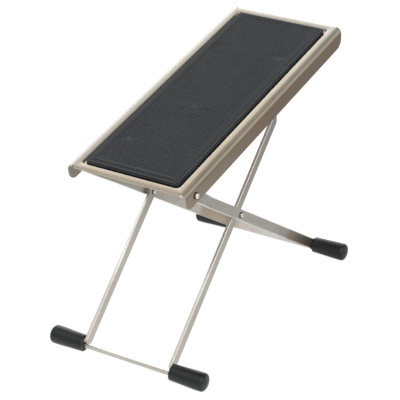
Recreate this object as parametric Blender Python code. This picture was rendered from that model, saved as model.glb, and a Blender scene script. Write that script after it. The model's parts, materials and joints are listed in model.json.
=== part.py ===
"""Folding guitar footrest.

A pressed steel plate with a ribbed rubber mat stands on two flat-bar frames that cross like scissors.
The rear frame hangs from two rivets near the plate's front end. The front frame crosses it, and its
locking bar catches in a pair of notched rails under the plate, which sets the height. Four rubber caps
stand on the floor.

Metres, +Z up. +X is the plate's width, +Y runs from its low front end to its high rear end, and the
origin is on the floor, under the middle of the whole footrest.
"""

from math import acos, asin, cos, degrees, pi, radians, sin

import bmesh
import bpy
from mathutils import Matrix, Vector

# Foot plate: one pressed sheet with a shallow recess, two long flanges and two short turned ends
PLATE_LENGTH = 0.2800
PLATE_WIDTH = 0.1120
SHEET = 0.0012
FLANGE_BEND_RADIUS = 0.0050
FLANGE_DEPTH = 0.0176
FLANGE_CORNER_RADIUS = 0.0090
END_LIP_DEPTH = 0.0024
END_LIP_RADIUS = 0.0016
RELIEF_INSET = 0.0003
RELIEF_WIDTH = 0.0006
RECESS_DEPTH = 0.0018
RECESS_LIP_RADIUS = 0.0016
RECESS_FLOOR_RADIUS = 0.0008
RECESS_CORNER_RADIUS = 0.0046

# Rubber mat, held by four moulded studs
MAT_END_MARGIN = 0.0098
MAT_SIDE_MARGIN = 0.0124
MAT_CORNER_RADIUS = 0.0022
MAT_PROUD = 0.0017
MAT_EDGE_GAP = 0.0015
MAT_EDGE_ROUND = 0.0006
RIB_PITCH = 0.00225
RIB_GROOVE_WIDTH = 0.0011
RIB_GROOVE_DEPTH = 0.0005
RIB_BORDER = 0.0050
PATCH_SETBACK = 0.1125
PATCH_LENGTH = 0.0100
PATCH_WIDTH = 0.0160
STUD_FRONT_SETBACK = 0.0510
STUD_REAR_INSET = 0.0690
STUD_SPREAD = 0.0570
STUD_DIAMETER = 0.0050
STUD_HEAD_DIAMETER = 0.0078
STUD_HEAD_DEPTH = 0.0020
STUD_HEAD_EDGE = 0.0007

# Leg frames: flat bar with rounded edges
BAR_WIDTH = 0.0094
BAR_THICKNESS = 0.0030
BAR_EDGE_ROUND = 0.0007
PIVOT_SETBACK = 0.0158
PIVOT_DROP = 0.0104
REAR_LEG_LENGTH = 0.2865
PIVOT_TO_SCISSOR = 0.1088
FRONT_LEG_BELOW = 0.1477
FRONT_LEG_ABOVE = 0.1410
FRAME_SIDE_MARGIN = 0.0126
REAR_JOGGLE_START = 0.0265
REAR_JOGGLE_LENGTH = 0.0210
FRONT_JOGGLE_START = 0.0914
FRONT_JOGGLE_LENGTH = 0.0092
FRONT_JOGGLE_OFFSET = 0.0037
JOGGLE_RADIUS = 0.0040
TAB_BEND_RADIUS = 0.0030
TAB_LIFT = 0.0015
TAB_LENGTH = 0.0220
CROSSBAR_DIAMETER = 0.0034
CROSSBAR_INSERT = 0.0180
REAR_STRIP_THICKNESS = 0.0028
REAR_TENON_WIDTH = 0.0024

# Locking bar and the rails that it catches in
LOCKING_BAR_DIAMETER = 0.0050
TENON_DIAMETER = 0.0036
PEENED_HEAD_DIAMETER = 0.0054
PEENED_HEAD_HEIGHT = 0.0006
NOTCH_FIRST = 0.1974
NOTCH_PITCH = 0.0100
NOTCH_COUNT = 5
SEAT_ANGLE = radians(0.5)
RAIL_SHEET = 0.0015
RAIL_FOOT_WIDTH = 0.0036
RAIL_TAIL = 0.0080
STOP_LENGTH = 0.0050
STOP_REACH = 0.0012
STOP_GAP = 0.0005

# Rivets and washers: the straight rim of a head is a share of its height
HEAD_RIM_SHARE = 0.25
PIVOT_SHANK_DIAMETER = 0.0040
PIVOT_HEAD_DIAMETER = 0.0062
PIVOT_HEAD_HEIGHT = 0.0017
PIVOT_WASHER_THICKNESS = 0.0012
PIVOT_WASHER_DIAMETER = 0.0090
SCISSOR_SHANK_DIAMETER = 0.0034
SCISSOR_HEAD_DIAMETER = 0.0054
SCISSOR_HEAD_HEIGHT = 0.0013
SCISSOR_WASHER_THICKNESS = 0.0008
SCISSOR_WASHER_DIAMETER = 0.0080

# Rubber caps on the ends of the legs
CAP_LENGTH = 0.0338
CAP_OUTER_DIAMETER = 0.0162
CAP_INNER_DIAMETER = 0.0146
CAP_OUTER_ROUND = 0.0032
CAP_INNER_ROUND = 0.0005
CAP_DOME = 0.0010
CAP_STRAIGHT = 0.0100

# Clearances and mesh fineness
GAP = 0.0003
OVERRUN = 0.0020
ROUND_SEGMENTS = 24
SMALL_SEGMENTS = 16
ARC_STEPS = 6
MERGE = 0.00001

# Sizes and places that follow from the ones above
MAT_LENGTH = PLATE_LENGTH - 2 * MAT_END_MARGIN
MAT_WIDTH = PLATE_WIDTH - 2 * MAT_SIDE_MARGIN
FLOOR_UNDERSIDE = -RECESS_DEPTH - SHEET
FRONT_OUTER = PLATE_WIDTH / 2 - FRAME_SIDE_MARGIN
FRONT_INNER = FRONT_OUTER - BAR_THICKNESS
UPPER_OUTER = FRONT_OUTER - FRONT_JOGGLE_OFFSET
UPPER_INNER = UPPER_OUTER - BAR_THICKNESS
RAIL_OUTER = UPPER_INNER - GAP
REAR_INNER = FRONT_OUTER + SCISSOR_WASHER_THICKNESS + 2 * GAP
REAR_OUTER = REAR_INNER + BAR_THICKNESS
FLANGE_INNER = PLATE_WIDTH / 2 - SHEET
HANGER_OUTER = FLANGE_INNER - PIVOT_WASHER_THICKNESS - 2 * GAP
HANGER_INNER = HANGER_OUTER - BAR_THICKNESS
NOTCH_DEPTH = NOTCH_FIRST * sin(SEAT_ANGLE)
TOOTH_TIP = LOCKING_BAR_DIAMETER / 2 + GAP
CAP_RADIUS = CAP_OUTER_DIAMETER / 2


def opposite_side_angle(opposite, side_a, side_b):
    """Return the angle between side_a and side_b of a triangle."""
    return acos((side_a ** 2 + side_b ** 2 - opposite ** 2) / (2 * side_a * side_b))


def leg_angles():
    """Return the slopes of the rear leg, the front leg and the plate as the footrest stands."""
    crossing = opposite_side_angle(NOTCH_FIRST, PIVOT_TO_SCISSOR, FRONT_LEG_ABOVE)
    rear_below = REAR_LEG_LENGTH - PIVOT_TO_SCISSOR
    squares = rear_below ** 2 + FRONT_LEG_BELOW ** 2
    stance = (squares - 2 * rear_below * FRONT_LEG_BELOW * cos(crossing)) ** 0.5
    rear = opposite_side_angle(FRONT_LEG_BELOW, rear_below, stance)
    front = pi - crossing - rear
    at_pivot = asin(FRONT_LEG_ABOVE * sin(crossing) / NOTCH_FIRST)
    return rear, front, at_pivot - rear


def stand_places():
    """Return the world Y and Z of the plate pivot and of the scissor pivot."""
    rear, front, tilt = leg_angles()
    pivot_z = CAP_RADIUS + REAR_LEG_LENGTH * sin(rear)
    scissor_z = pivot_z - PIVOT_TO_SCISSOR * sin(rear)
    front_foot_y = PIVOT_TO_SCISSOR * cos(rear) - FRONT_LEG_BELOW * cos(front)
    foremost = front_foot_y - CAP_RADIUS
    corner_u = PLATE_LENGTH - FLANGE_CORNER_RADIUS - PIVOT_SETBACK
    corner_n = FLANGE_CORNER_RADIUS - FLANGE_DEPTH + PIVOT_DROP
    rearmost = corner_u * cos(tilt) - corner_n * sin(tilt) + FLANGE_CORNER_RADIUS
    middle = (foremost + rearmost) / 2
    return (-middle, pivot_z), (PIVOT_TO_SCISSOR * cos(rear) - middle, scissor_z)


def material(name, colour, roughness, metallic):
    """Return a new Principled material."""
    made = bpy.data.materials.new(name)
    made.use_nodes = True
    shader = made.node_tree.nodes["Principled BSDF"]
    shader.inputs["Base Color"].default_value = (*colour, 1.0)
    shader.inputs["Roughness"].default_value = roughness
    shader.inputs["Metallic"].default_value = metallic
    made.diffuse_color = (*colour, 1.0)
    return made


def axis_empty(name, place, slope):
    """Return an empty on a joint's axis, with its local Y along the piece that it carries."""
    empty = bpy.data.objects.new(name, None)
    empty.empty_display_size = BAR_WIDTH
    empty.location = (0, place[0], place[1])
    empty.rotation_euler = (slope, 0, 0)
    bpy.context.scene.collection.objects.link(empty)
    return empty


def add_object(name, mesh_builder, finish, parent, location=(0, 0, 0), turn=0):
    """Turn a bmesh into a named object under its axis empty, and return the object."""
    bmesh.ops.recalc_face_normals(mesh_builder, faces=mesh_builder.faces)
    mesh = bpy.data.meshes.new(name)
    mesh_builder.to_mesh(mesh)
    mesh_builder.free()
    mesh.shade_smooth()
    mesh.set_sharp_from_angle(angle=radians(35))
    made = bpy.data.objects.new(name, mesh)
    made.location = location
    made.rotation_euler = (turn, 0, 0)
    made.parent = parent
    if finish:
        mesh.materials.append(finish)
    bpy.context.scene.collection.objects.link(made)
    return made


def cutter(name, mesh_builder, parent, location=(0, 0, 0), turn=0):
    """Return a hidden object that only cuts or joins others."""
    made = add_object(name, mesh_builder, None, parent, location, turn)
    made.hide_render = True
    made.display_type = "WIRE"
    return made


def combine(target, tool, operation="DIFFERENCE"):
    """Cut the tool from the target, or join it on."""
    step = target.modifiers.new(f"{operation.lower()}_{tool.name}", "BOOLEAN")
    step.operation = operation
    step.solver = "EXACT"
    step.object = tool


def round_edges(target, width, segments, angle=radians(50)):
    """Round the target's sharp edges."""
    step = target.modifiers.new("rounded_edges", "BEVEL")
    step.width = width
    step.segments = segments
    step.limit_method = "ANGLE"
    step.angle_limit = angle
    step.use_clamp_overlap = True


def arc(centre, radius, start, end, steps):
    """Return points along an arc in a plane, both ends included."""
    turns = [start + (end - start) * step / steps for step in range(steps + 1)]
    return [(centre[0] + radius * cos(turn), centre[1] + radius * sin(turn)) for turn in turns]


def rounded_rectangle(half_a, half_b, radius, steps):
    """Return the outline of a rounded rectangle about the origin, anticlockwise."""
    points = []
    for quarter in range(4):
        side_a = 1 if quarter in (0, 3) else -1
        side_b = 1 if quarter in (0, 1) else -1
        centre = (side_a * (half_a - radius), side_b * (half_b - radius))
        points += arc(centre, radius, quarter * pi / 2, (quarter + 1) * pi / 2, steps)
    return points


def prism(outline, to_vector, direction):
    """Return a bmesh of an outline's face, pushed along a direction."""
    built = bmesh.new()
    face = built.faces.new([built.verts.new(to_vector(*point)) for point in outline])
    pushed = bmesh.ops.extrude_face_region(built, geom=[face])
    moved = [item for item in pushed["geom"] if isinstance(item, bmesh.types.BMVert)]
    bmesh.ops.translate(built, verts=moved, vec=direction)
    return built


def turned(profile, segments, phase=0):
    """Return a bmesh turned about the X axis from a profile of (x, radius) points.

    The profile starts and ends on the axis.
    """
    built = bmesh.new()
    spine = [built.verts.new((x, 0, radius)) for x, radius in profile]
    edges = [built.edges.new(pair) for pair in zip(spine, spine[1:])]
    bmesh.ops.rotate(built, verts=spine, cent=(0, 0, 0), matrix=Matrix.Rotation(phase, 3, "X"))
    bmesh.ops.spin(built, geom=spine + edges, cent=(0, 0, 0), axis=(1, 0, 0), angle=2 * pi,
                   steps=segments, use_merge=True, use_duplicate=False)
    bmesh.ops.remove_doubles(built, verts=built.verts, dist=MERGE)
    return built


def rod(start, end, diameter, segments=SMALL_SEGMENTS):
    """Return a bmesh of a plain rod along X."""
    radius = diameter / 2
    return turned([(start, 0), (start, radius), (end, radius), (end, 0)], segments)


def box(low, high):
    """Return a bmesh of a box between two corners."""
    middle = (Vector(low) + Vector(high)) / 2
    size = Vector(high) - Vector(low)
    built = bmesh.new()
    bmesh.ops.create_cube(built, size=1, matrix=Matrix.Translation(middle) @ Matrix.Diagonal((*size, 1)))
    return built


def add_solid(target, part):
    """Move the faces of one bmesh into another."""
    spare = bpy.data.meshes.new("spare")
    part.to_mesh(spare)
    part.free()
    target.from_mesh(spare)
    bpy.data.meshes.remove(spare)


def bent_centre_line(corners, radii):
    """Return (point, normal) pairs along a line of corners whose bends have the given radii."""
    line = [Vector(corner) for corner in corners]
    samples = []

    def note(place, heading):
        samples.append((place, Vector((-heading.y, heading.x))))

    note(line[0], (line[1] - line[0]).normalized())
    for index, radius in enumerate(radii, start=1):
        entry = (line[index] - line[index - 1]).normalized()
        leave = (line[index + 1] - line[index]).normalized()
        swing = entry.angle_signed(leave)
        setback = radius * abs(sin(swing / 2) / cos(swing / 2))
        begin = line[index] - entry * setback
        side = 1 if entry.x * leave.y - entry.y * leave.x > 0 else -1
        centre = begin + Vector((-entry.y, entry.x)) * side * radius
        for step in range(ARC_STEPS + 1):
            turn = Matrix.Rotation(side * abs(swing) * step / ARC_STEPS, 2)
            note(centre + turn @ (begin - centre), turn @ entry)
    note(line[-1], (line[-1] - line[-2]).normalized())
    return samples


def flat_bar(corners, radii, round_at):
    """Return a bmesh of a flat bar bent along a line in the local XY plane.

    The bar is BAR_THICKNESS thick in that plane and BAR_WIDTH wide along Z. Its end at round_at, a
    local Y, is rounded over about its whole width.
    """
    samples = bent_centre_line(corners, radii)
    half = BAR_THICKNESS / 2
    one_side = [place + normal * half for place, normal in samples]
    other_side = [place - normal * half for place, normal in reversed(samples)]
    outline = [tuple(point) for point in one_side + other_side]
    low = -BAR_WIDTH / 2
    built = prism(outline, lambda x, y: (x, y, low), (0, 0, BAR_WIDTH))
    end_edges = [edge for edge in built.edges
                 if all(abs(vert.co.y - round_at) < MERGE for vert in edge.verts)
                 and abs(edge.verts[0].co.z - edge.verts[1].co.z) < MERGE]
    bmesh.ops.bevel(built, geom=end_edges, offset=BAR_WIDTH / 2 - GAP / 2, segments=ARC_STEPS,
                    profile=0.5, affect="EDGES")
    return built


def pressed_sheet():
    """Return the plate's outer skin: top, recess, bent flanges and turned ends.

    Local places are (x, u, n): u from the front end and n from the top face, before the skin moves to
    the pivot's axis.
    """
    built = bmesh.new()
    flat_half = PLATE_WIDTH / 2 - FLANGE_BEND_RADIUS
    slit_outer = flat_half - RELIEF_INSET
    slit_inner = slit_outer - RELIEF_WIDTH

    def vert(x, u, n=0):
        return built.verts.new((x, u - PIVOT_SETBACK, n + PIVOT_DROP))

    def end_row(u_edge, u_bend, side):
        """Return the top face's outline across one end, from -X to +X times side."""
        across = [(flat_half, u_edge), (slit_outer, u_edge), (slit_outer, u_bend), (slit_inner, u_bend)]
        row = [(-side * x, u) for x, u in across] + [(side * x, u) for x, u in reversed(across)]
        return [vert(x, u) for x, u in row]

    front = end_row(0, END_LIP_RADIUS, 1)
    rear = end_row(PLATE_LENGTH, PLATE_LENGTH - END_LIP_RADIUS, -1)
    outer_loop = front + rear

    # Recess: loops of a rounded rectangle that shrink down the lip to the floor
    drop_angle = acos(1 - RECESS_DEPTH / (RECESS_LIP_RADIUS + RECESS_FLOOR_RADIUS))
    steps = ARC_STEPS // 2 + 1
    run = (RECESS_LIP_RADIUS + RECESS_FLOOR_RADIUS) * sin(drop_angle)
    shape = []
    for step in range(steps + 1):
        turn = drop_angle * step / steps
        shape.append((RECESS_LIP_RADIUS * sin(turn), -RECESS_LIP_RADIUS * (1 - cos(turn))))
    for step in range(1, steps + 1):
        turn = drop_angle * (1 - step / steps)
        shape.append((run - RECESS_FLOOR_RADIUS * sin(turn),
                      RECESS_FLOOR_RADIUS * (1 - cos(turn)) - RECESS_DEPTH))
    half_x = MAT_WIDTH / 2 + MAT_EDGE_GAP + run
    half_u = MAT_LENGTH / 2 + MAT_EDGE_GAP + run
    loops = []
    for inset, n in shape:
        outline = rounded_rectangle(half_x - inset, half_u - inset, RECESS_CORNER_RADIUS - inset, ARC_STEPS)
        loops.append([vert(x, u + PLATE_LENGTH / 2, n) for x, u in outline])
    for upper, lower in zip(loops, loops[1:]):
        for index in range(len(upper)):
            after = (index + 1) % len(upper)
            built.faces.new((upper[index], upper[after], lower[after], lower[index]))
    built.faces.new(loops[-1])

    # Top face: the band between the outline and the recess
    rim = [built.edges.new((outer_loop[i - 1], outer_loop[i])) for i in range(len(outer_loop))]
    mouth = [built.edges.get((loops[0][i - 1], loops[0][i])) for i in range(len(loops[0]))]
    bmesh.ops.triangle_fill(built, use_beauty=True, use_dissolve=False, edges=rim + mouth)

    # Long flanges: a quarter bend, then a flat face with large rounded corners
    for side, near, far in ((-1, front[0], rear[-1]), (1, front[-1], rear[0])):
        bend = arc((side * flat_half, -FLANGE_BEND_RADIUS), FLANGE_BEND_RADIUS,
                   pi / 2, pi / 2 - side * pi / 2, ARC_STEPS)
        last = (near, far)
        for x, n in bend[1:]:
            row = (vert(x, 0, n), vert(x, PLATE_LENGTH, n))
            built.faces.new((last[0], last[1], row[1], row[0]))
            last = row
        radius = FLANGE_CORNER_RADIUS
        low = radius - FLANGE_DEPTH
        corners = arc((PLATE_LENGTH - radius, low), radius, 0, -pi / 2, ARC_STEPS)
        corners += arc((radius, low), radius, -pi / 2, -pi, ARC_STEPS)
        edge = [vert(side * PLATE_WIDTH / 2, u, n) for u, n in corners]
        built.faces.new([last[0], last[1], *edge])

    # Short ends: a small bend and a straight lip between the relief slits
    for row, u_bend, way in ((front[3:5], END_LIP_RADIUS, -1),
                             (rear[3:5], PLATE_LENGTH - END_LIP_RADIUS, 1)):
        steps = ARC_STEPS // 2 + 1
        bend = arc((u_bend, -END_LIP_RADIUS), END_LIP_RADIUS, pi / 2, pi / 2 - way * pi / 2, steps)
        last = tuple(row)
        for u, n in bend[1:] + [(bend[-1][0], -END_LIP_DEPTH)]:
            fresh = tuple(vert(old.co.x, u, n) for old in last)
            built.faces.new((last[0], last[1], fresh[1], fresh[0]))
            last = fresh
    return built


def make_foot_plate(axis, steel):
    """Make the pressed plate, with its pivot holes and the holes for the mat's studs."""
    plate = add_object("foot_plate", pressed_sheet(), steel, axis)
    wall = plate.modifiers.new("sheet_thickness", "SOLIDIFY")
    wall.thickness = SHEET
    wall.offset = -1
    wall.use_even_offset = True
    reach = PLATE_WIDTH / 2 + OVERRUN
    drill = cutter("pivot_drill", rod(-reach, reach, PIVOT_SHANK_DIAMETER + 2 * GAP), axis)
    combine(plate, drill)
    punch = bmesh.new()
    for x, u in stud_places():
        depth = SHEET + 2 * OVERRUN
        place = Matrix.Translation((x, u - PIVOT_SETBACK, FLOOR_UNDERSIDE + SHEET / 2 + PIVOT_DROP))
        radius = STUD_DIAMETER / 2 + GAP
        bmesh.ops.create_cone(punch, cap_ends=True, segments=SMALL_SEGMENTS, radius1=radius,
                              radius2=radius, depth=depth, matrix=place)
    combine(plate, cutter("stud_punch", punch, axis))


def stud_places():
    """Return the (x, u) places of the mat's studs."""
    rows = (STUD_FRONT_SETBACK, PLATE_LENGTH - STUD_REAR_INSET)
    return [(side * STUD_SPREAD / 2, u) for u in rows for side in (-1, 1)]


def make_rubber_mat(axis, rubber):
    """Make the mat: a slab with cross ribs, a bare patch and four studs with mushroom heads."""
    bottom = GAP - RECESS_DEPTH + PIVOT_DROP
    top = MAT_PROUD + PIVOT_DROP
    middle = PLATE_LENGTH / 2 - PIVOT_SETBACK
    outline = rounded_rectangle(MAT_WIDTH / 2, MAT_LENGTH / 2, MAT_CORNER_RADIUS, ARC_STEPS)
    slab = prism(outline, lambda x, y: (x, y + middle, bottom), (0, 0, top - bottom))
    mat = add_object("rubber_mat", slab, rubber, axis)
    round_edges(mat, MAT_EDGE_ROUND, 2)

    # Each stud passes its hole and spreads under the plate
    shank_low = FLOOR_UNDERSIDE + PIVOT_DROP - GAP
    head_low = shank_low - STUD_HEAD_DEPTH
    shank = STUD_DIAMETER / 2
    head = STUD_HEAD_DIAMETER / 2
    overlap = (top - bottom) / 2
    studs = bmesh.new()
    for x, u in stud_places():
        profile = [(head_low, 0), (head_low, shank), (shank_low - STUD_HEAD_EDGE, head),
                   (shank_low, head), (shank_low, shank), (bottom + overlap, shank), (bottom + overlap, 0)]
        stud = turned(profile, SMALL_SEGMENTS)
        bmesh.ops.rotate(stud, verts=stud.verts, cent=(0, 0, 0), matrix=Matrix.Rotation(-pi / 2, 3, "Y"))
        bmesh.ops.translate(stud, verts=stud.verts, vec=(x, u - PIVOT_SETBACK, 0))
        add_solid(studs, stud)
    combine(mat, cutter("stud_stock", studs, axis), "UNION")

    # V grooves between the ribs, broken by the bare patch
    half = MAT_WIDTH / 2 - RIB_BORDER
    usable = MAT_LENGTH - 2 * RIB_BORDER
    count = int(usable / RIB_PITCH)
    first = middle - (count - 1) * RIB_PITCH / 2
    patch_centre = PATCH_SETBACK - PIVOT_SETBACK
    grooves = bmesh.new()
    for index in range(count):
        y = first + index * RIB_PITCH
        spans = [(-half, half)]
        if abs(y - patch_centre) < (PATCH_LENGTH + RIB_GROOVE_WIDTH) / 2:
            spans = [(-half, -PATCH_WIDTH / 2), (PATCH_WIDTH / 2, half)]
        rise = RIB_GROOVE_DEPTH
        wide = RIB_GROOVE_WIDTH / 2
        vee = [(y - 2 * wide, top + rise), (y, top - rise), (y + 2 * wide, top + rise)]
        for start, end in spans:
            add_solid(grooves, prism(vee, lambda a, b: (start, a, b), (end - start, 0, 0)))
    combine(mat, cutter("rib_grooves", grooves, axis))


def make_notch_rail(side, name, axis, steel):
    """Make one toothed rail: a web with arched notches, a front stop and a foot under the plate."""
    ceiling = FLOOR_UNDERSIDE + PIVOT_DROP - GAP
    bar_radius = LOCKING_BAR_DIAMETER / 2
    seat_radius = bar_radius + GAP
    stop_rear = NOTCH_FIRST - bar_radius - STOP_GAP
    front = stop_rear - STOP_LENGTH
    rear = NOTCH_FIRST + (NOTCH_COUNT - 1) * NOTCH_PITCH + RAIL_TAIL
    half_chord = (seat_radius ** 2 - (seat_radius - NOTCH_DEPTH) ** 2) ** 0.5
    centre_z = TOOTH_TIP + NOTCH_DEPTH - seat_radius
    open_angle = asin((TOOTH_TIP - centre_z) / seat_radius)
    points = [(front, ceiling), (front, -STOP_REACH), (stop_rear, -STOP_REACH), (stop_rear, TOOTH_TIP)]
    for index in range(NOTCH_COUNT):
        centre = NOTCH_FIRST + index * NOTCH_PITCH
        notch = arc((centre, centre_z), seat_radius, pi - open_angle, open_angle, ARC_STEPS)
        if centre - half_chord <= stop_rear:
            notch = [point for point in notch if point[0] > stop_rear]
            points[-1] = (stop_rear, notch[0][1])
        points += notch
    points += [(rear, TOOTH_TIP), (rear, ceiling)]
    outer = side * RAIL_OUTER
    web = prism(points, lambda y, z: (outer, y, z), (-side * RAIL_SHEET, 0, 0))
    rail = add_object(name, web, steel, axis)
    inner = outer - side * RAIL_FOOT_WIDTH
    near = outer - side * RAIL_SHEET / 2
    low = (min(inner, near), front, ceiling - RAIL_SHEET)
    high = (max(inner, near), rear, ceiling)
    combine(rail, cutter(f"{name}_foot", box(low, high), axis), "UNION")


def make_leg(name, frame_axis, side, corners, radii, round_at, holes, steel):
    """Make one flat-bar leg with its rivet holes, each given as (local y, diameter)."""
    mirrored = [(side * x, y) for x, y in corners]
    leg = add_object(name, flat_bar(mirrored, radii, round_at), steel, frame_axis)
    round_edges(leg, BAR_EDGE_ROUND, 2)
    drills = bmesh.new()
    for y, diameter in holes:
        bore = rod(-PLATE_WIDTH, PLATE_WIDTH, diameter + 2 * GAP)
        bmesh.ops.translate(bore, verts=bore.verts, vec=(0, y, 0))
        add_solid(drills, bore)
    combine(leg, cutter(f"{name}_drill", drills, frame_axis))


def make_rubber_cap(name, axis, side, mouth, foot_y, outward, slope, rubber):
    """Make one rubber cap, with the blind socket that takes a leg's tab and the crossbar's end.

    mouth is the cap's inner end in X, foot_y the local Y of its own axis, outward the local Y way from
    the crossing towards the floor, and slope the leg's slope, which the cap's round shape undoes.
    """
    inner = CAP_INNER_DIAMETER / 2
    end = CAP_LENGTH
    edge = CAP_OUTER_ROUND
    profile = [(0, 0), (0, inner - CAP_INNER_ROUND), (CAP_INNER_ROUND, inner)]
    profile += [(end - CAP_STRAIGHT, CAP_RADIUS)]
    rounding = arc((end - edge, CAP_RADIUS - edge), edge, pi / 2, 0, ARC_STEPS)
    profile += [(x - CAP_DOME, radius) for x, radius in rounding]
    profile += [(end, 0)]
    body = turned(profile, ROUND_SEGMENTS)
    if side < 0:
        bmesh.ops.rotate(body, verts=body.verts, cent=(0, 0, 0), matrix=Matrix.Rotation(pi, 3, "Z"))
    cap = add_object(name, body, rubber, axis, (side * mouth, foot_y, 0), -slope)

    # Socket: the tab's slot with a deeper mouth for its bend, and the crossbar's hole
    tab_y = foot_y - outward * TAB_LIFT
    half_slot = BAR_THICKNESS / 2 + GAP
    half_width = BAR_WIDTH / 2 + GAP
    bend_radius = TAB_BEND_RADIUS - BAR_THICKNESS / 2
    floor = tab_y + outward * half_slot
    roof = tab_y - outward * half_slot
    raised = roof - outward * bend_radius / 2
    outside = mouth - OVERRUN
    slot_end = mouth + TAB_LENGTH + GAP
    bend_end = mouth + bend_radius
    outline = [(outside, floor), (slot_end, floor), (slot_end, roof), (bend_end, roof),
               (bend_end, raised), (outside, raised)]
    slot = prism(outline, lambda x, y: (side * x, y, -half_width), (0, 0, 2 * half_width))
    combine(cap, cutter(f"{name}_slot", slot, axis))
    bore = rod(0, CROSSBAR_INSERT + OVERRUN + GAP, CROSSBAR_DIAMETER + 2 * GAP)
    if side < 0:
        bmesh.ops.rotate(bore, verts=bore.verts, cent=(0, 0, 0), matrix=Matrix.Rotation(pi, 3, "Z"))
    start = (side * outside, crossbar_y(foot_y, outward), 0)
    combine(cap, cutter(f"{name}_bore", bore, axis, start))


def crossbar_y(foot_y, outward):
    """Return the local Y of a crossbar, which lies under the leg's tab."""
    return foot_y - outward * (TAB_LIFT - BAR_THICKNESS / 2 - GAP - CROSSBAR_DIAMETER / 2)


def domed_head(face, height, diameter, outward):
    """Return the (x, radius) points of a domed rivet head, from its rim to the axis."""
    rim = diameter / 2
    flat = height * HEAD_RIM_SHARE
    points = [(face, rim), (face + outward * flat, rim)]
    for step in range(1, ARC_STEPS + 1):
        turn = pi / 2 * step / ARC_STEPS
        points.append((face + outward * (flat + (height - flat) * sin(turn)), rim * cos(turn)))
    points[-1] = (points[-1][0], 0)
    return points


def make_rivet(name, axis, side, outer_face, inner_face, shank, head, height, y, steel):
    """Make one rivet: a domed head outside, a shank and a domed tail inside."""
    shank_radius = shank / 2
    outside = domed_head(outer_face + GAP, height, head, 1)
    inside = domed_head(inner_face - GAP, height, head, -1)
    profile = list(reversed(inside)) + [(inner_face - GAP, shank_radius)]
    profile += [(outer_face + GAP, shank_radius)] + outside
    body = turned(profile, SMALL_SEGMENTS)
    if side < 0:
        bmesh.ops.rotate(body, verts=body.verts, cent=(0, 0, 0), matrix=Matrix.Rotation(pi, 3, "Z"))
    add_object(name, body, steel, axis, (0, y, 0))


def make_washer(name, axis, side, inner_face, thickness, outer, inner, y, steel):
    """Make one plain washer."""
    ring = turned([(0, 0), (0, outer / 2), (thickness, outer / 2), (thickness, 0)], ROUND_SEGMENTS)
    start = inner_face if side > 0 else -inner_face - thickness
    washer = add_object(name, ring, steel, axis, (start, y, 0))
    bore = rod(-OVERRUN, thickness + OVERRUN, inner + 2 * GAP)
    combine(washer, cutter(f"{name}_bore", bore, axis, (start, y, 0)))


def make_locking_bar(axis, steel):
    """Make the bar across the front frame's top, with shouldered ends peened over the legs."""
    shoulder = UPPER_INNER - GAP
    peen = UPPER_OUTER + GAP
    tip = peen + PEENED_HEAD_HEIGHT
    half = [(shoulder, LOCKING_BAR_DIAMETER / 2), (shoulder, TENON_DIAMETER / 2), (peen, TENON_DIAMETER / 2),
            (peen, PEENED_HEAD_DIAMETER / 2), (tip, TENON_DIAMETER / 2), (tip, 0)]
    profile = [(-x, radius) for x, radius in reversed(half)] + half
    add_object("locking_bar", turned(profile, SMALL_SEGMENTS), steel, axis, (0, FRONT_LEG_ABOVE, 0))


def rear_strip(reach):
    """Return the rear crossbar: a flat strip under the legs' bends, with a tenon for each cap."""
    wide = REAR_OUTER - GAP
    half = BAR_WIDTH / 2
    slim = REAR_TENON_WIDTH / 2
    outline = [(-reach, -slim), (-wide, -slim), (-wide, -half), (wide, -half), (wide, -slim), (reach, -slim),
               (reach, slim), (wide, slim), (wide, half), (-wide, half), (-wide, slim), (-reach, slim)]
    return prism(outline, lambda x, z: (x, -REAR_STRIP_THICKNESS / 2, z), (0, REAR_STRIP_THICKNESS, 0))


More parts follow.
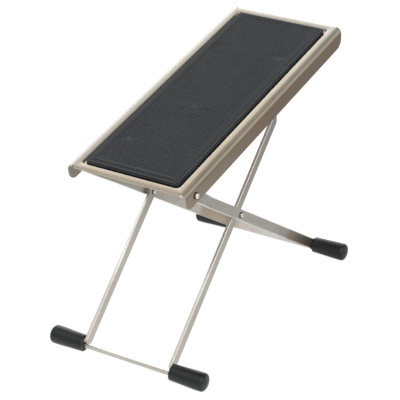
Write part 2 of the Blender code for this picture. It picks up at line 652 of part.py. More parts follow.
def make_frames(rear_axis, front_axis, steel, bright, rubber):
    """Make both leg frames with their crossbars, caps and scissor pivots."""
    rear_slope, front_slope, _ = leg_angles()
    hanger = HANGER_OUTER - BAR_THICKNESS / 2
    rear_line = REAR_OUTER - BAR_THICKNESS / 2
    front_line = FRONT_OUTER - BAR_THICKNESS / 2
    upper_line = UPPER_OUTER - BAR_THICKNESS / 2
    rear_tab = REAR_LEG_LENGTH - TAB_LIFT
    front_tab = TAB_LIFT - FRONT_LEG_BELOW
    rear_mouth = REAR_OUTER + GAP
    front_mouth = FRONT_OUTER + GAP
    rear_corners = [(hanger, -BAR_WIDTH / 2), (hanger, REAR_JOGGLE_START),
                    (rear_line, REAR_JOGGLE_START + REAR_JOGGLE_LENGTH), (rear_line, rear_tab),
                    (rear_mouth + TAB_LENGTH, rear_tab)]
    front_corners = [(upper_line, FRONT_LEG_ABOVE + BAR_WIDTH / 2),
                     (upper_line, FRONT_JOGGLE_START + FRONT_JOGGLE_LENGTH),
                     (front_line, FRONT_JOGGLE_START), (front_line, front_tab),
                     (front_mouth + TAB_LENGTH, front_tab)]
    bends = (JOGGLE_RADIUS, JOGGLE_RADIUS, TAB_BEND_RADIUS)
    for side, label in ((-1, "left"), (1, "right")):
        make_leg(f"rear_leg_{label}", rear_axis, side, rear_corners, bends, -BAR_WIDTH / 2,
                 ((0, PIVOT_SHANK_DIAMETER), (PIVOT_TO_SCISSOR, SCISSOR_SHANK_DIAMETER)), steel)
        make_leg(f"front_leg_{label}", front_axis, side, front_corners, bends,
                 FRONT_LEG_ABOVE + BAR_WIDTH / 2,
                 ((0, SCISSOR_SHANK_DIAMETER), (FRONT_LEG_ABOVE, TENON_DIAMETER)), steel)
        make_rubber_cap(f"rear_foot_{label}", rear_axis, side, rear_mouth, REAR_LEG_LENGTH, 1,
                        -rear_slope, rubber)
        make_rubber_cap(f"front_foot_{label}", front_axis, side, front_mouth, -FRONT_LEG_BELOW, -1,
                        front_slope, rubber)
        make_rivet(f"scissor_rivet_{label}", rear_axis, side, REAR_OUTER, FRONT_INNER,
                   SCISSOR_SHANK_DIAMETER, SCISSOR_HEAD_DIAMETER, SCISSOR_HEAD_HEIGHT,
                   PIVOT_TO_SCISSOR, bright)
        make_washer(f"scissor_washer_{label}", rear_axis, side, FRONT_OUTER + GAP,
                    SCISSOR_WASHER_THICKNESS, SCISSOR_WASHER_DIAMETER, SCISSOR_SHANK_DIAMETER,
                    PIVOT_TO_SCISSOR, bright)
    rear_reach = rear_mouth + CROSSBAR_INSERT
    front_reach = front_mouth + CROSSBAR_INSERT
    add_object("rear_crossbar", rear_strip(rear_reach), steel, rear_axis,
               (0, crossbar_y(REAR_LEG_LENGTH, 1), 0))
    add_object("front_crossbar", rod(-front_reach, front_reach, CROSSBAR_DIAMETER), steel, front_axis,
               (0, crossbar_y(-FRONT_LEG_BELOW, -1), 0))
    make_locking_bar(front_axis, bright)


def make_plate_group(plate_axis, steel, bright, rubber):
    """Make the plate, its mat, its rails and the rivets that hang the rear frame."""
    make_foot_plate(plate_axis, steel)
    make_rubber_mat(plate_axis, rubber)
    for side, label in ((-1, "left"), (1, "right")):
        make_notch_rail(side, f"notch_rail_{label}", plate_axis, steel)
        make_rivet(f"pivot_rivet_{label}", plate_axis, side, PLATE_WIDTH / 2, HANGER_INNER,
                   PIVOT_SHANK_DIAMETER, PIVOT_HEAD_DIAMETER, PIVOT_HEAD_HEIGHT, 0, bright)
        make_washer(f"pivot_washer_{label}", plate_axis, side, HANGER_OUTER + GAP,
                    PIVOT_WASHER_THICKNESS, PIVOT_WASHER_DIAMETER, PIVOT_SHANK_DIAMETER, 0, bright)


def main():
    """Clear the scene and build the footrest as it stands in its first notch."""
    for old in list(bpy.data.objects):
        bpy.data.objects.remove(old, do_unlink=True)
    rear_slope, front_slope, tilt = leg_angles()
    pivot, scissor = stand_places()
    plate_axis = axis_empty("plate_axis", pivot, tilt)
    rear_axis = axis_empty("rear_frame_axis", pivot, -rear_slope)
    front_axis = axis_empty("scissor_axis", scissor, front_slope)
    steel = material("nickel_satin", (0.56, 0.50, 0.42), 0.32, 1.0)
    bright = material("nickel_bright", (0.66, 0.62, 0.56), 0.22, 1.0)
    mat_rubber = material("mat_rubber", (0.045, 0.053, 0.057), 0.62, 0.0)
    cap_rubber = material("cap_rubber", (0.014, 0.015, 0.016), 0.45, 0.0)
    make_plate_group(plate_axis, steel, bright, mat_rubber)
    make_frames(rear_axis, front_axis, steel, bright, cap_rubber)
    print(f"slopes: rear {degrees(rear_slope):.3f}, front {degrees(front_slope):.3f}, "
          f"plate {degrees(tilt):.3f}; pivot {pivot}, scissor {scissor}")


if __name__ == "__main__":
    main()
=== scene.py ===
"""The looks of a folding guitar footrest: a pressed nickel plate with a ribbed mat on scissor legs.

Every piece is built in its own local frame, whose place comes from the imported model's joints, mount and
feet, and is then laid into the footrest's frame. Metres, +Z up, +X across the plate's width.
"""

from __future__ import annotations

import json
import logging
from dataclasses import dataclass, field
from enum import Enum
from math import acos, atan2, cos, pi, radians, sin, tan
from typing import Mapping, Sequence, Union

import bmesh
import bpy
from mathutils import Matrix, Vector

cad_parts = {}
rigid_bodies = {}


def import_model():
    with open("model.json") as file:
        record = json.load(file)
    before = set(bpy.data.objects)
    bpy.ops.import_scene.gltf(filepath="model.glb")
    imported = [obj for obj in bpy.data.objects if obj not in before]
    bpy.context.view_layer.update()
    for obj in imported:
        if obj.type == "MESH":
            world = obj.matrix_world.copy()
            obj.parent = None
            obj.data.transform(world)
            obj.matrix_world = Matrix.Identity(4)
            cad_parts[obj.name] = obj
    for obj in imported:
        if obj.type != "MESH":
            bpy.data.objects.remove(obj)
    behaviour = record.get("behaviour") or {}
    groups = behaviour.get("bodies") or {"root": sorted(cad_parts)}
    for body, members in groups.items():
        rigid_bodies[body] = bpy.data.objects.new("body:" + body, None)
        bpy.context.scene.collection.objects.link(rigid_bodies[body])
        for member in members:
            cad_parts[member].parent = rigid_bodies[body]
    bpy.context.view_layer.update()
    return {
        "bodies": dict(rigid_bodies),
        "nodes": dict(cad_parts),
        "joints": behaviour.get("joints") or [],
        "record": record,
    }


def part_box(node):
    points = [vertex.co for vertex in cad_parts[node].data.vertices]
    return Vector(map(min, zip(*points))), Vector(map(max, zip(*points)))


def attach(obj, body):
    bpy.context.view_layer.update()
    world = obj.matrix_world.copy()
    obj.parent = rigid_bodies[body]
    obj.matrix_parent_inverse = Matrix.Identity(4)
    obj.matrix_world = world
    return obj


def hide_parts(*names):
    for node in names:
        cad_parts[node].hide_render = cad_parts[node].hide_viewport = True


LOG = logging.getLogger("footrest")

Colour = tuple[float, float, float]
Point = tuple[float, float]

MERGE = 0.000005
CLEARANCE = 0.0003
FULL_TURN = 2 * pi
QUARTER = pi / 2


class Side(Enum):
    """The two halves of the footrest, with the sign of their X."""

    LEFT = -1
    RIGHT = 1

    @property
    def label(self) -> str:
        """Return the side's word in a piece's name."""
        return self.name.lower()


class Slot(Enum):
    """The record's material slots."""

    NICKEL_SATIN = "nickel_satin"
    NICKEL_BRIGHT = "nickel_bright"
    MAT_RUBBER = "mat_rubber"
    CAP_RUBBER = "cap_rubber"


class Grain(Enum):
    """How a polishing belt ran over a piece: the stretch of the pattern along X, Y and Z."""

    ALONG_Y = (1.0, 0.02, 1.0)
    ALONG_X = (0.02, 1.0, 1.0)
    AROUND_X = (1.0, 0.15, 0.15)


# ---- Shader arithmetic


class Value:
    """One output of a node. Python's operators on it add Math nodes."""

    def __init__(self, graph: Graph, socket: bpy.types.NodeSocket) -> None:
        """Keep the graph and the output."""
        self.graph = graph
        self.socket = socket

    def __add__(self, other: Operand) -> Value:
        """Return the sum."""
        return self.graph.math("ADD", self, other)

    __radd__ = __add__

    def __sub__(self, other: Operand) -> Value:
        """Return the difference."""
        return self.graph.math("SUBTRACT", self, other)

    def __rsub__(self, other: Operand) -> Value:
        """Return the difference from another number."""
        return self.graph.math("SUBTRACT", other, self)

    def __mul__(self, other: Operand) -> Value:
        """Return the product."""
        return self.graph.math("MULTIPLY", self, other)

    __rmul__ = __mul__

    def __truediv__(self, other: Operand) -> Value:
        """Return the quotient."""
        return self.graph.math("DIVIDE", self, other)

    def __pow__(self, other: Operand) -> Value:
        """Return the power."""
        return self.graph.math("POWER", self, other)

    def __abs__(self) -> Value:
        """Return the absolute value."""
        return self.graph.math("ABSOLUTE", self)


Operand = Union[Value, float]
Key = Union[str, int]


class Graph:
    """The nodes of one material."""

    def __init__(self, name: str, place: Placement, metallic: float = 0.0, specular: float = 0.5) -> None:
        """Start a material.

        Args:
            name: The material's name.
            place: The local frame in which its patterns lie.
            metallic: 1 for bare or plated metal.
            specular: The strength of the mirror light on what isn't metal.
        """
        self.material = bpy.data.materials.new(name)
        self.material.use_nodes = True
        self.shader = self.material.node_tree.nodes["Principled BSDF"]
        self.shader.inputs["Metallic"].default_value = metallic
        self.shader.inputs["Specular IOR Level"].default_value = specular
        at = self.node("TexCoord", {}, {}, "Object")
        frame = {"Vector": at, "Location": (0, place.y, place.z), "Rotation": (place.slope, 0, 0)}
        self.local = self.node("Mapping", {"vector_type": "TEXTURE"}, frame)
        self.x, self.y, self.z = (self.node("SeparateXYZ", {}, {0: self.local}, axis) for axis in "XYZ")

    def node(self, kind: str, settings: Mapping[str, object], inputs: Mapping[Key, object],
             output: Key = 0) -> Value:
        """Add a node of any kind.

        Args:
            kind: The node's type, without its ShaderNode prefix.
            settings: The node's own settings, set first. "stops" holds a ramp's (place, colour) pairs.
            inputs: Values or links by the name or number of their socket.
            output: The name or number of the output that is wanted.

        Returns:
            The output as a Value.
        """
        made = self.material.node_tree.nodes.new(f"ShaderNode{kind}")
        for key, setting in settings.items():
            if key == "stops":
                for index, (place, colour) in enumerate(setting):
                    elements = made.color_ramp.elements
                    stop = elements[index] if index < 2 else elements.new(place)
                    stop.position = place
                    stop.color = (*colour, 1.0)
            else:
                setattr(made, key, setting)
        for key, entry in inputs.items():
            self.feed(made.inputs[key], entry)
        return Value(self, made.outputs[output])

    def feed(self, socket: bpy.types.NodeSocket, entry: object) -> None:
        """Link a Value to a socket, or set the socket's own number.

        Args:
            socket: The input.
            entry: A Value, a number or a tuple.
        """
        if isinstance(entry, Value):
            self.material.node_tree.links.new(entry.socket, socket)
        else:
            socket.default_value = entry

    def math(self, operation: str, *operands: Operand) -> Value:
        """Return one Math node's result."""
        return self.node("Math", {"operation": operation}, dict(enumerate(operands)))

    def stretched(self, shares: Sequence[float]) -> Value:
        """Return the local coordinates, each multiplied by a share."""
        return self.node("VectorMath", {"operation": "MULTIPLY"}, {0: self.local, 1: tuple(shares)})

    def noise(self, scale: float, detail: float = 2.0, shares: Sequence[float] = (1, 1, 1)) -> Value:
        """Return a noise between 0 and 1.

        Args:
            scale: Features for each metre.
            detail: Octaves.
            shares: The stretch of the pattern.

        Returns:
            The noise's factor.
        """
        return self.node("TexNoise", {}, {"Vector": self.stretched(shares), "Scale": scale, "Detail": detail})

    def ramp(self, value: Value, low: float, high: float, start: float = 0.0, end: float = 1.0) -> Value:
        """Return a smooth step of a value.

        Args:
            value: What is stepped.
            low: Where the step begins.
            high: Where it ends.
            start: The result below low.
            end: The result above high.

        Returns:
            The stepped value.
        """
        return self.node("MapRange", {"interpolation_type": "SMOOTHSTEP"},
                         {0: value, 1: low, 2: high, 3: start, 4: end})

    def mixed(self, factor: Operand, first: Union[Value, Colour], second: Union[Value, Colour]) -> Value:
        """Return a colour between two others.

        Args:
            factor: 0 for the first, 1 for the second.
            first: A colour or a colour's Value.
            second: The other one.

        Returns:
            The mixed colour.
        """
        ends = [entry if isinstance(entry, Value) else (*entry, 1.0) for entry in (first, second)]
        return self.node("Mix", {"data_type": "RGBA"}, {0: factor, 6: ends[0], 7: ends[1]}, 2)

    def spot(self, x: float, y: float, radius: float) -> Value:
        """Return a soft round mask about a local place, 1 at its middle.

        Args:
            x: The middle's local X.
            y: The middle's local Y.
            radius: Where the mask ends.

        Returns:
            The mask.
        """
        across = self.x - x
        along = self.y - y
        distance = (across * across + along * along) ** 0.5
        return self.ramp(distance, 0.0, radius, 1.0, 0.0)

    def dress(self, colour: Value, roughness: Value, height: Value, relief: float) -> bpy.types.Material:
        """Feed what changes over the surface to the shader.

        Args:
            colour: The base colour.
            roughness: The roughness.
            height: The relief's height, between 0 and 1.
            relief: The relief's depth in metres.

        Returns:
            The material.
        """
        bump = self.node("Bump", {}, {"Strength": 1.0, "Distance": relief, "Height": height})
        self.feed(self.shader.inputs["Base Color"], colour)
        self.feed(self.shader.inputs["Roughness"], roughness)
        self.feed(self.shader.inputs["Normal"], bump)
        return self.material


# ---- Finishes


@dataclass(frozen=True)
class Nickel:
    """Satin nickel plate: fine belt marks, soft cloudy patches and small pits, with lighter edges that are
    partly wear and partly a painted highlight, and a darker end that is painted shade.
    """

    name: str
    bright: Colour = (0.68, 0.65, 0.59)
    dull: Colour = (0.57, 0.54, 0.48)
    # This darker colour serves both the small pits and the painted shade at one end.
    film: Colour = (0.30, 0.25, 0.19)
    roughness: float = 0.30
    roughness_swing: float = 0.08
    grain: Grain = Grain.ALONG_Y
    film_from: float = 10.0
    film_to: float = 11.0
    film_strength: float = 0.55
    film_across: bool = False
    # The rim colour paints the bar's edges lighter: partly wear, partly a painted highlight.
    rim: Colour = (0.90, 0.88, 0.83)
    half_width: float = 1.0
    relief: float = 0.000012

    def build(self, place: Placement) -> bpy.types.Material:
        """Return the material for a piece in a local frame.

        Args:
            place: The local frame.

        Returns:
            The material.
        """
        graph = Graph(self.name, place, metallic=1.0)
        marks = graph.noise(2600, 3.0, self.grain.value)
        coarse_marks = graph.noise(700, 2.0, self.grain.value)
        cloud = graph.noise(38, 3.0)
        pits = graph.ramp(graph.noise(900, 1.0), 0.70, 0.78)
        tone = graph.ramp(marks * 0.45 + coarse_marks * 0.25 + cloud * 0.3, 0.36, 0.64)
        colour = graph.mixed(tone, self.dull, self.bright)
        # Lighter along the bar's edges: partly wear, partly a painted highlight.
        wear_and_highlight = graph.ramp(abs(graph.z), self.half_width - 0.0010, self.half_width - 0.0003)
        colour = graph.mixed(wear_and_highlight * 0.8, colour, self.rim)
        # Darker towards one end, between the two bounds: painted shade.
        along = graph.x if self.film_across else graph.y
        low = graph.ramp(along + cloud * 0.02, self.film_from, self.film_to) * self.film_strength
        colour = graph.mixed(low, colour, self.film)
        colour = graph.mixed(pits * 0.35, colour, self.film)
        rough = self.roughness + (cloud - 0.5) * self.roughness_swing + (marks - 0.5) * 0.08 + low * 0.1
        return graph.dress(colour, rough, marks * 0.7 + coarse_marks * 0.3 - pits * 0.5, self.relief)


@dataclass(frozen=True)
class RivetNickel:
    """Polished nickel on the rivets' domes, with a dark ring round each one that is painted shade."""

    name: str = "rivet_nickel"
    polished: Colour = (0.86, 0.84, 0.79)
    # The dark colour of the ring round each rivet is painted shade.
    soot_and_shade: Colour = (0.10, 0.085, 0.065)
    roughness: float = 0.14
    scissor_y: float = 0.1088
    scissor_ring: float = 0.00235
    pivot_ring: float = 0.0027

    def build(self, place: Placement) -> bpy.types.Material:
        """Return the rivets' material.

        Args:
            place: The local frame.

        Returns:
            The material.
        """
        graph = Graph(self.name, place, metallic=1.0)
        cloud = graph.noise(500, 2.0)
        # Dark round each rivet's head: painted shade.
        ring = graph.math("MINIMUM", self.outside(graph, 0.0, self.pivot_ring),
                          self.outside(graph, self.scissor_y, self.scissor_ring))
        colour = graph.mixed(ring * graph.ramp(cloud, 0.25, 0.6, 0.6, 0.95), self.polished, self.soot_and_shade)
        return graph.dress(colour, self.roughness + ring * 0.25 + (cloud - 0.5) * 0.06, cloud, 0.000004)

    def outside(self, graph: Graph, y: float, radius: float) -> Value:
        """Return a mask that is 1 beyond a radius about a rivet's axis.

        Args:
            graph: The material's nodes.
            y: The axis's local Y.
            radius: Where the mask reaches 1.

        Returns:
            The mask.
        """
        along = graph.y - y
        distance = (along * along + graph.z * graph.z) ** 0.5
        return graph.ramp(distance, radius - 0.0005, radius)


@dataclass(frozen=True)
class PlateNickel:
    """The pressed plate's warmer satin plating, with painted light and shade: a lighter recess lip, partly
    wear and partly a painted highlight; a greyer left band and a paler rear, painted light; browner flanges
    outside and a darker underside, painted shade.
    """

    name: str = "plate_nickel"
    bright: Colour = (0.55, 0.48, 0.385)
    dull: Colour = (0.46, 0.395, 0.305)
    # The lip colour is partly wear and partly a painted highlight.
    wear_and_highlight: Colour = (0.70, 0.64, 0.54)
    # Darker colour for the underside: painted shade.
    under: Colour = (0.38, 0.355, 0.31)
    # Paler colour towards the rear: painted light.
    pale: Colour = (0.53, 0.505, 0.445)
    # Greyer colour for the left band: painted light.
    left_painted_light: Colour = (0.45, 0.43, 0.38)
    soot_and_shade: Colour = (0.26, 0.22, 0.16)
    # Browner colour for the flanges' outside: painted shade.
    flange_shade: Colour = (0.45, 0.335, 0.235)
    roughness: float = 0.29
    lip_x: float = 0.0470
    lip_u: float = 0.1342
    middle_u: float = 0.1400
    relief: float = 0.000014

    def build(self, place: Placement) -> bpy.types.Material:
        """Return the plate's material.

        Args:
            place: The local frame.

        Returns:
            The material.
        """
        graph = Graph(self.name, place, metallic=1.0)
        marks = graph.noise(2200, 3.0, Grain.ALONG_Y.value)
        cloud = graph.noise(26, 4.0)
        tone = graph.ramp(marks * 0.5 + cloud * 0.5, 0.36, 0.64)
        colour = graph.mixed(tone, self.dull, self.bright)
        # Lighter along the recess lip: partly wear, partly a painted highlight.
        beyond_x = abs(graph.x) - self.lip_x
        beyond_u = abs(graph.y - self.middle_u) - self.lip_u
        lip = graph.ramp(abs(graph.math("MAXIMUM", beyond_x, beyond_u)), 0.0, 0.0011, 1.0, 0.0)
        lip = lip * graph.ramp(graph.z, -0.0012, -0.0003)
        colour = graph.mixed(lip * graph.ramp(cloud, 0.35, 0.65, 0.35, 0.8), colour, self.wear_and_highlight)
        # Greyer on the left band: painted light.
        patchy = graph.ramp(cloud, 0.25, 0.6, 0.65, 0.9)
        colour = graph.mixed(graph.ramp(graph.x, -0.040, -0.049) * patchy, colour, self.left_painted_light)
        # Paler towards the rear end: painted light.
        rear_painted_light = graph.math("MAXIMUM", graph.ramp(graph.y, 0.266, 0.274),
                             graph.ramp(graph.y, 0.10, 0.26, 0.0, 0.5))
        colour = graph.mixed(rear_painted_light * patchy, colour, self.pale)
        # Browner and darker on the flanges' outside, more towards the rear: painted shade.
        outside = graph.ramp(abs(graph.x), 0.0548, 0.0558)
        toward_rear = graph.ramp(graph.y + cloud * 0.05, 0.04, 0.21, 0.35, 1.0)
        colour = graph.mixed(outside * toward_rear * graph.ramp(cloud, 0.2, 0.7, 0.7, 1.0), colour, self.flange_shade)
        # Darker on the underside inside the flanges: painted shade.
        below = graph.ramp(graph.z, -0.0021, -0.0034) * graph.ramp(abs(graph.x), 0.0552, 0.0546)
        colour = graph.mixed(below * 0.8, colour, self.under)
        pits = graph.ramp(graph.noise(800, 1.0), 0.71, 0.78)
        colour = graph.mixed(pits * 0.3, colour, self.soot_and_shade)
        rough = self.roughness + (cloud - 0.5) * 0.12 + (marks - 0.5) * 0.08 + below * 0.12 - lip * 0.06
        return graph.dress(colour, rough, marks - pits * 0.5, self.relief)


@dataclass(frozen=True)
class MatRubber:
    """Moulded rubber: dusty on its ribs, with pale rubbed marks over the studs and at the middle."""

    name: str = "mat_rubber"
    deep: Colour = (0.010, 0.0125, 0.0140)
    dusty: Colour = (0.026, 0.031, 0.034)
    rubbed: Colour = (0.075, 0.082, 0.086)
    # The edge colour lightens the top edges, partly wear and partly a painted highlight, and the ledge line,
    # a painted highlight.
    edge: Colour = (0.105, 0.115, 0.120)
    ledge_z: float = 0.0001
    half_width: float = 0.0431
    half_length: float = 0.1302
    middle_u: float = 0.1400
    top: float = 0.0017
    roughness: float = 0.56
    specular: float = 0.32
    spots: tuple[tuple[float, float, float, float], ...] = (
        (-0.0278, 0.0509, 0.0110, 0.5), (0.0275, 0.0519, 0.0110, 0.35), (-0.0294, 0.2108, 0.0100, 0.5),
        (0.0293, 0.2112, 0.0100, 0.6), (0.0004, 0.1125, 0.0060, 0.9))

    def build(self, place: Placement) -> bpy.types.Material:
        """Return the mat's material.

        Args:
            place: The local frame.

        Returns:
            The material.
        """
        graph = Graph(self.name, place, specular=self.specular)
        cloud = graph.noise(22, 4.0)
        fine = graph.noise(1500, 3.0)
        smear = graph.noise(160, 4.0, (0.35, 1.0, 1.0))
        colour = graph.mixed(graph.ramp(cloud * 0.6 + fine * 0.4, 0.35, 0.68), self.deep, self.dusty)
        rubs = graph.spot(*self.spots[0][:3]) * self.spots[0][3]
        for x, u, radius, strength in self.spots[1:]:
            rubs = rubs + graph.spot(x, u, radius) * strength
        rubs = rubs * graph.ramp(smear, 0.42, 0.66)
        colour = graph.mixed(rubs, colour, self.rubbed)
        # Lighter along the top edges, partly wear and partly a painted highlight, and at the ledge, a painted
        # highlight.
        inside = graph.math("MINIMUM", self.half_width - abs(graph.x),
                            self.half_length - abs(graph.y - self.middle_u))
        upper = graph.ramp(graph.z, self.top - 0.0006, self.top - 0.0003)
        wear_and_highlight = graph.ramp(inside, 0.0002, 0.0008, 1.0, 0.0) * upper
        rim = graph.ramp(abs(graph.z - self.ledge_z), 0.0001, 0.0004, 0.45, 0.0)
        colour = graph.mixed((wear_and_highlight + rim) * graph.ramp(smear, 0.3, 0.6, 0.6, 1.0), colour, self.edge)
        rough = self.roughness + (cloud - 0.5) * 0.18 + (fine - 0.5) * 0.1
        return graph.dress(colour, rough, fine, 0.00002)


@dataclass(frozen=True)
class CapRubber:
    """Smooth black rubber with a soft sheen, scuffed and dusty near the floor."""

    name: str = "cap_rubber"
    clean: Colour = (0.0055, 0.0065, 0.0072)
    dusty: Colour = (0.026, 0.027, 0.027)
    roughness: float = 0.32
    specular: float = 0.5

    def build(self, place: Placement) -> bpy.types.Material:
        """Return the caps' material.

        Args:
            place: The local frame.

        Returns:
            The material.
        """
        graph = Graph(self.name, place, specular=self.specular)
        cloud = graph.noise(90, 4.0)
        fine = graph.noise(2600, 3.0)
        scuffs = graph.ramp(graph.noise(420, 4.0, (0.3, 1.0, 1.0)), 0.56, 0.72)
        near_floor = graph.ramp(graph.z, 0.0075, 0.0005)
        dust = scuffs * (0.12 + near_floor * 0.6)
        colour = graph.mixed(dust, self.clean, self.dusty)
        rough = self.roughness + (cloud - 0.5) * 0.14 + dust * 0.3
        return graph.dress(colour, rough, fine * 0.6 + scuffs * 0.4, 0.000012)


# ---- Local frames and mesh tools


@dataclass(frozen=True)
class Placement:
    """A local frame: its origin in the YZ plane, and its slope about X."""

    y: float = 0.0
    z: float = 0.0
    slope: float = 0.0

    @property
    def matrix(self) -> Matrix:
        """Return the way from the local frame to the footrest's frame."""
        return Matrix.Translation((0, self.y, self.z)) @ Matrix.Rotation(self.slope, 4, "X")

    def moved(self, y: float, z: float) -> Placement:
        """Return the same frame with its origin at a local point."""
        spot = self.matrix @ Vector((0, y, z))
        return Placement(spot.y, spot.z, self.slope)


@dataclass(frozen=True)
class Frames:
    """The local frames of the plate, the rear frame and the front frame."""

    plate: Placement
    rear: Placement
    front: Placement

    @classmethod
    def survey(cls, frame: Mapping[str, object], setback: float, drop: float) -> Frames:
        """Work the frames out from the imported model.

        Args:
            setback: How far the plate's pivot lies behind its front end.
            drop: How far the pivot lies under the plate's top.

        Returns:
            The three frames.
        """
        joints = {joint["name"]: Vector(joint["pos_m"]) for joint in frame["joints"]}
        normal = frame["record"]["mounts"][0]["axis"]
        pivot = joints["plate_fold"]
        scissor = joints["scissor_fold"]
        rear_foot = sum(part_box("rear_foot_left"), Vector()) / 2
        front_foot = sum(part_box("front_foot_left"), Vector()) / 2
        tilt = atan2(-normal[1], normal[2])
        rear_slope = atan2(rear_foot.z - pivot.z, rear_foot.y - pivot.y)
        front_slope = atan2(scissor.z - front_foot.z, scissor.y - front_foot.y)
        return cls(Placement(pivot.y, pivot.z, tilt).moved(-setback, drop),
                   Placement(pivot.y, pivot.z, rear_slope), Placement(scissor.y, scissor.z, front_slope))


def arc(centre: Point, radius: float, start: float, end: float, steps: int) -> list[Point]:
    """Return points along an arc, both ends included.

    Args:
        centre: The arc's centre.
        radius: Its radius.
        start: The first point's angle.
        end: The last point's angle.
        steps: How many chords it has.

    Returns:
        The points.
    """
    turns = [start + (end - start) * step / steps for step in range(steps + 1)]
    return [(centre[0] + radius * cos(turn), centre[1] + radius * sin(turn)) for turn in turns]


def turned(profile: Sequence[Point], segments: int) -> bmesh.types.BMesh:
    """Return a mesh turned about the X axis.

    Args:
        profile: (x, radius) points from the axis back to the axis.
        segments: How many steps the full turn has.

    Returns:
        The mesh.
    """
    built = bmesh.new()
    spine = [built.verts.new((x, 0, radius)) for x, radius in profile]
    edges = [built.edges.new(pair) for pair in zip(spine, spine[1:])]
    bmesh.ops.spin(built, geom=spine + edges, cent=(0, 0, 0), axis=(1, 0, 0), angle=FULL_TURN,
                   steps=segments, use_merge=True, use_duplicate=False)
    bmesh.ops.remove_doubles(built, verts=built.verts, dist=MERGE)
    bmesh.ops.recalc_face_normals(built, faces=built.faces)
    return built


def only(items: Sequence[object], kind: type) -> list:
    """Return the items of one kind."""
    return [item for item in items if isinstance(item, kind)]


def on_side(built: bmesh.types.BMesh, side: Side, x: float, y: float) -> bmesh.types.BMesh:
    """Turn a mesh made for the right side to its own side, and move it to its place.

    Args:
        built: The mesh.
        side: Its side of the footrest.
        x: Its distance from the middle.
        y: Its local Y.

    Returns:
        The mesh.
    """
    swing = Matrix.Rotation(0 if side is Side.RIGHT else pi, 3, "Z")
    bmesh.ops.rotate(built, verts=built.verts, cent=(0, 0, 0), matrix=swing)
    bmesh.ops.translate(built, verts=built.verts, vec=(side.value * x, y, 0))
    return built


def linked(name: str, data: bpy.types.ID) -> bpy.types.Object:
    """Return a new object in the scene, at the origin."""
    made = bpy.data.objects.new(name, data)
    bpy.context.scene.collection.objects.link(made)
    return made


def pushed(built: bmesh.types.BMesh, face: bmesh.types.BMFace, way: Vector) -> bmesh.types.BMFace:
    """Extrude a face and return the new one.

    Args:
        built: The mesh.
        face: The face that is extruded.
        way: How far and where it goes.

    Returns:
        The new end face.
    """
    made = bmesh.ops.extrude_face_region(built, geom=[face])["geom"]
    if all(len(edge.link_faces) > 2 for edge in face.edges):
        bmesh.ops.delete(built, geom=[face], context="FACES_ONLY")
    bmesh.ops.translate(built, verts=only(made, bmesh.types.BMVert), vec=way)
    return only(made, bmesh.types.BMFace)[0]


def bevelled(built: bmesh.types.BMesh, geometry: Sequence[object], width: float, segments: int,
             affect: str = "EDGES") -> None:
    """Round edges or corners of a mesh.

    Args:
        built: The mesh.
        geometry: The edges or vertices.
        width: The rounding's width.
        segments: How many faces it has.
        affect: "EDGES" or "VERTICES".
    """
    bmesh.ops.bevel(built, geom=list(geometry), offset=width, segments=segments, profile=0.5, affect=affect,
                    material=-1, clamp_overlap=True)


def rounded_panel(built: bmesh.types.BMesh, half_x: float, half_y: float, middle: float, z: float,
                  corner: float, segments: int) -> bmesh.types.BMFace:
    """Add one face with rounded corners.

    Args:
        built: The mesh that it joins.
        half_x: Half its size along X.
        half_y: Half its size along Y.
        middle: Its centre's Y.
        z: Its height.
        corner: Its corners' radius.
        segments: How many steps a corner has.

    Returns:
        The face.
    """
    place = Matrix.Translation((0, middle, z)) @ Matrix.Diagonal((2 * half_x, 2 * half_y, 1, 1))
    grid = bmesh.ops.create_grid(built, x_segments=1, y_segments=1, size=0.5, matrix=place)
    corners = grid["verts"]
    before = set(built.faces) - set(corners[0].link_faces)
    bevelled(built, corners, corner, segments, "VERTICES")
    return next(face for face in built.faces if face not in before)


class Bar:
    """A flat bar: its end section pushed along straight runs and spun through bends in the XY plane."""

    def __init__(self, thickness: float, width: float, bend_steps: int = 8) -> None:
        """Keep the bar's section.

        Args:
            thickness: Its size in the plane of the bends.
            width: Its size along Z.
            bend_steps: How many steps a bend has.
        """
        self.thickness = thickness
        self.width = width
        self.bend_steps = bend_steps

    def along(self, corners: Sequence[Point], radii: Sequence[float]) -> bmesh.types.BMesh:
        """Return the bar along a line of corners, with a round end at the first one.

        Args:
            corners: The centre line's corners.
            radii: The radius of each bend between them.

        Returns:
            The mesh.
        """
        built = bmesh.new()
        line = [Vector(corner).to_3d() for corner in corners]
        heading = (line[1] - line[0]).normalized()
        across = Vector((-heading.y, heading.x, 0))
        section = Matrix((across, Vector((0, 0, 1)), heading)).transposed().to_4x4()
        place = Matrix.Translation(line[0]) @ section @ Matrix.Diagonal((self.thickness, self.width, 1, 1))
        bmesh.ops.create_grid(built, x_segments=1, y_segments=1, size=0.5, matrix=place)
        built.faces.ensure_lookup_table()
        face = built.faces[0]
        start = line[0]
        for index, radius in enumerate(radii, start=1):
            leave = (line[index + 1] - line[index]).normalized()
            swing = atan2(heading.x * leave.y - heading.y * leave.x, heading.dot(leave))
            setback = radius * tan(abs(swing) / 2)
            run = (line[index] - start).length - setback
            face = pushed(built, face, heading * run)
            turn_side = 1 if swing > 0 else -1
            begin = start + heading * run
            centre = begin + Vector((-heading.y, heading.x, 0)) * turn_side * radius
            geometry = [face, *face.edges, *face.verts]
            spun = bmesh.ops.spin(built, geom=geometry, cent=centre, axis=(0, 0, 1), angle=swing,
                                  steps=self.bend_steps, use_duplicate=False)
            face = only(spun["geom_last"], bmesh.types.BMFace)[0]
            start = line[index] + leave * setback
            heading = leave
        pushed(built, face, line[-1] - start)
        ends = [edge for edge in built.edges
                if all(abs((vert.co - line[0]).dot(line[1] - line[0])) < MERGE for vert in edge.verts)
                and abs(edge.verts[0].co.z - edge.verts[1].co.z) < MERGE]
        bevelled(built, ends, self.width / 2 - CLEARANCE / 2, 10)
        bmesh.ops.recalc_face_normals(built, faces=built.faces)
        return built


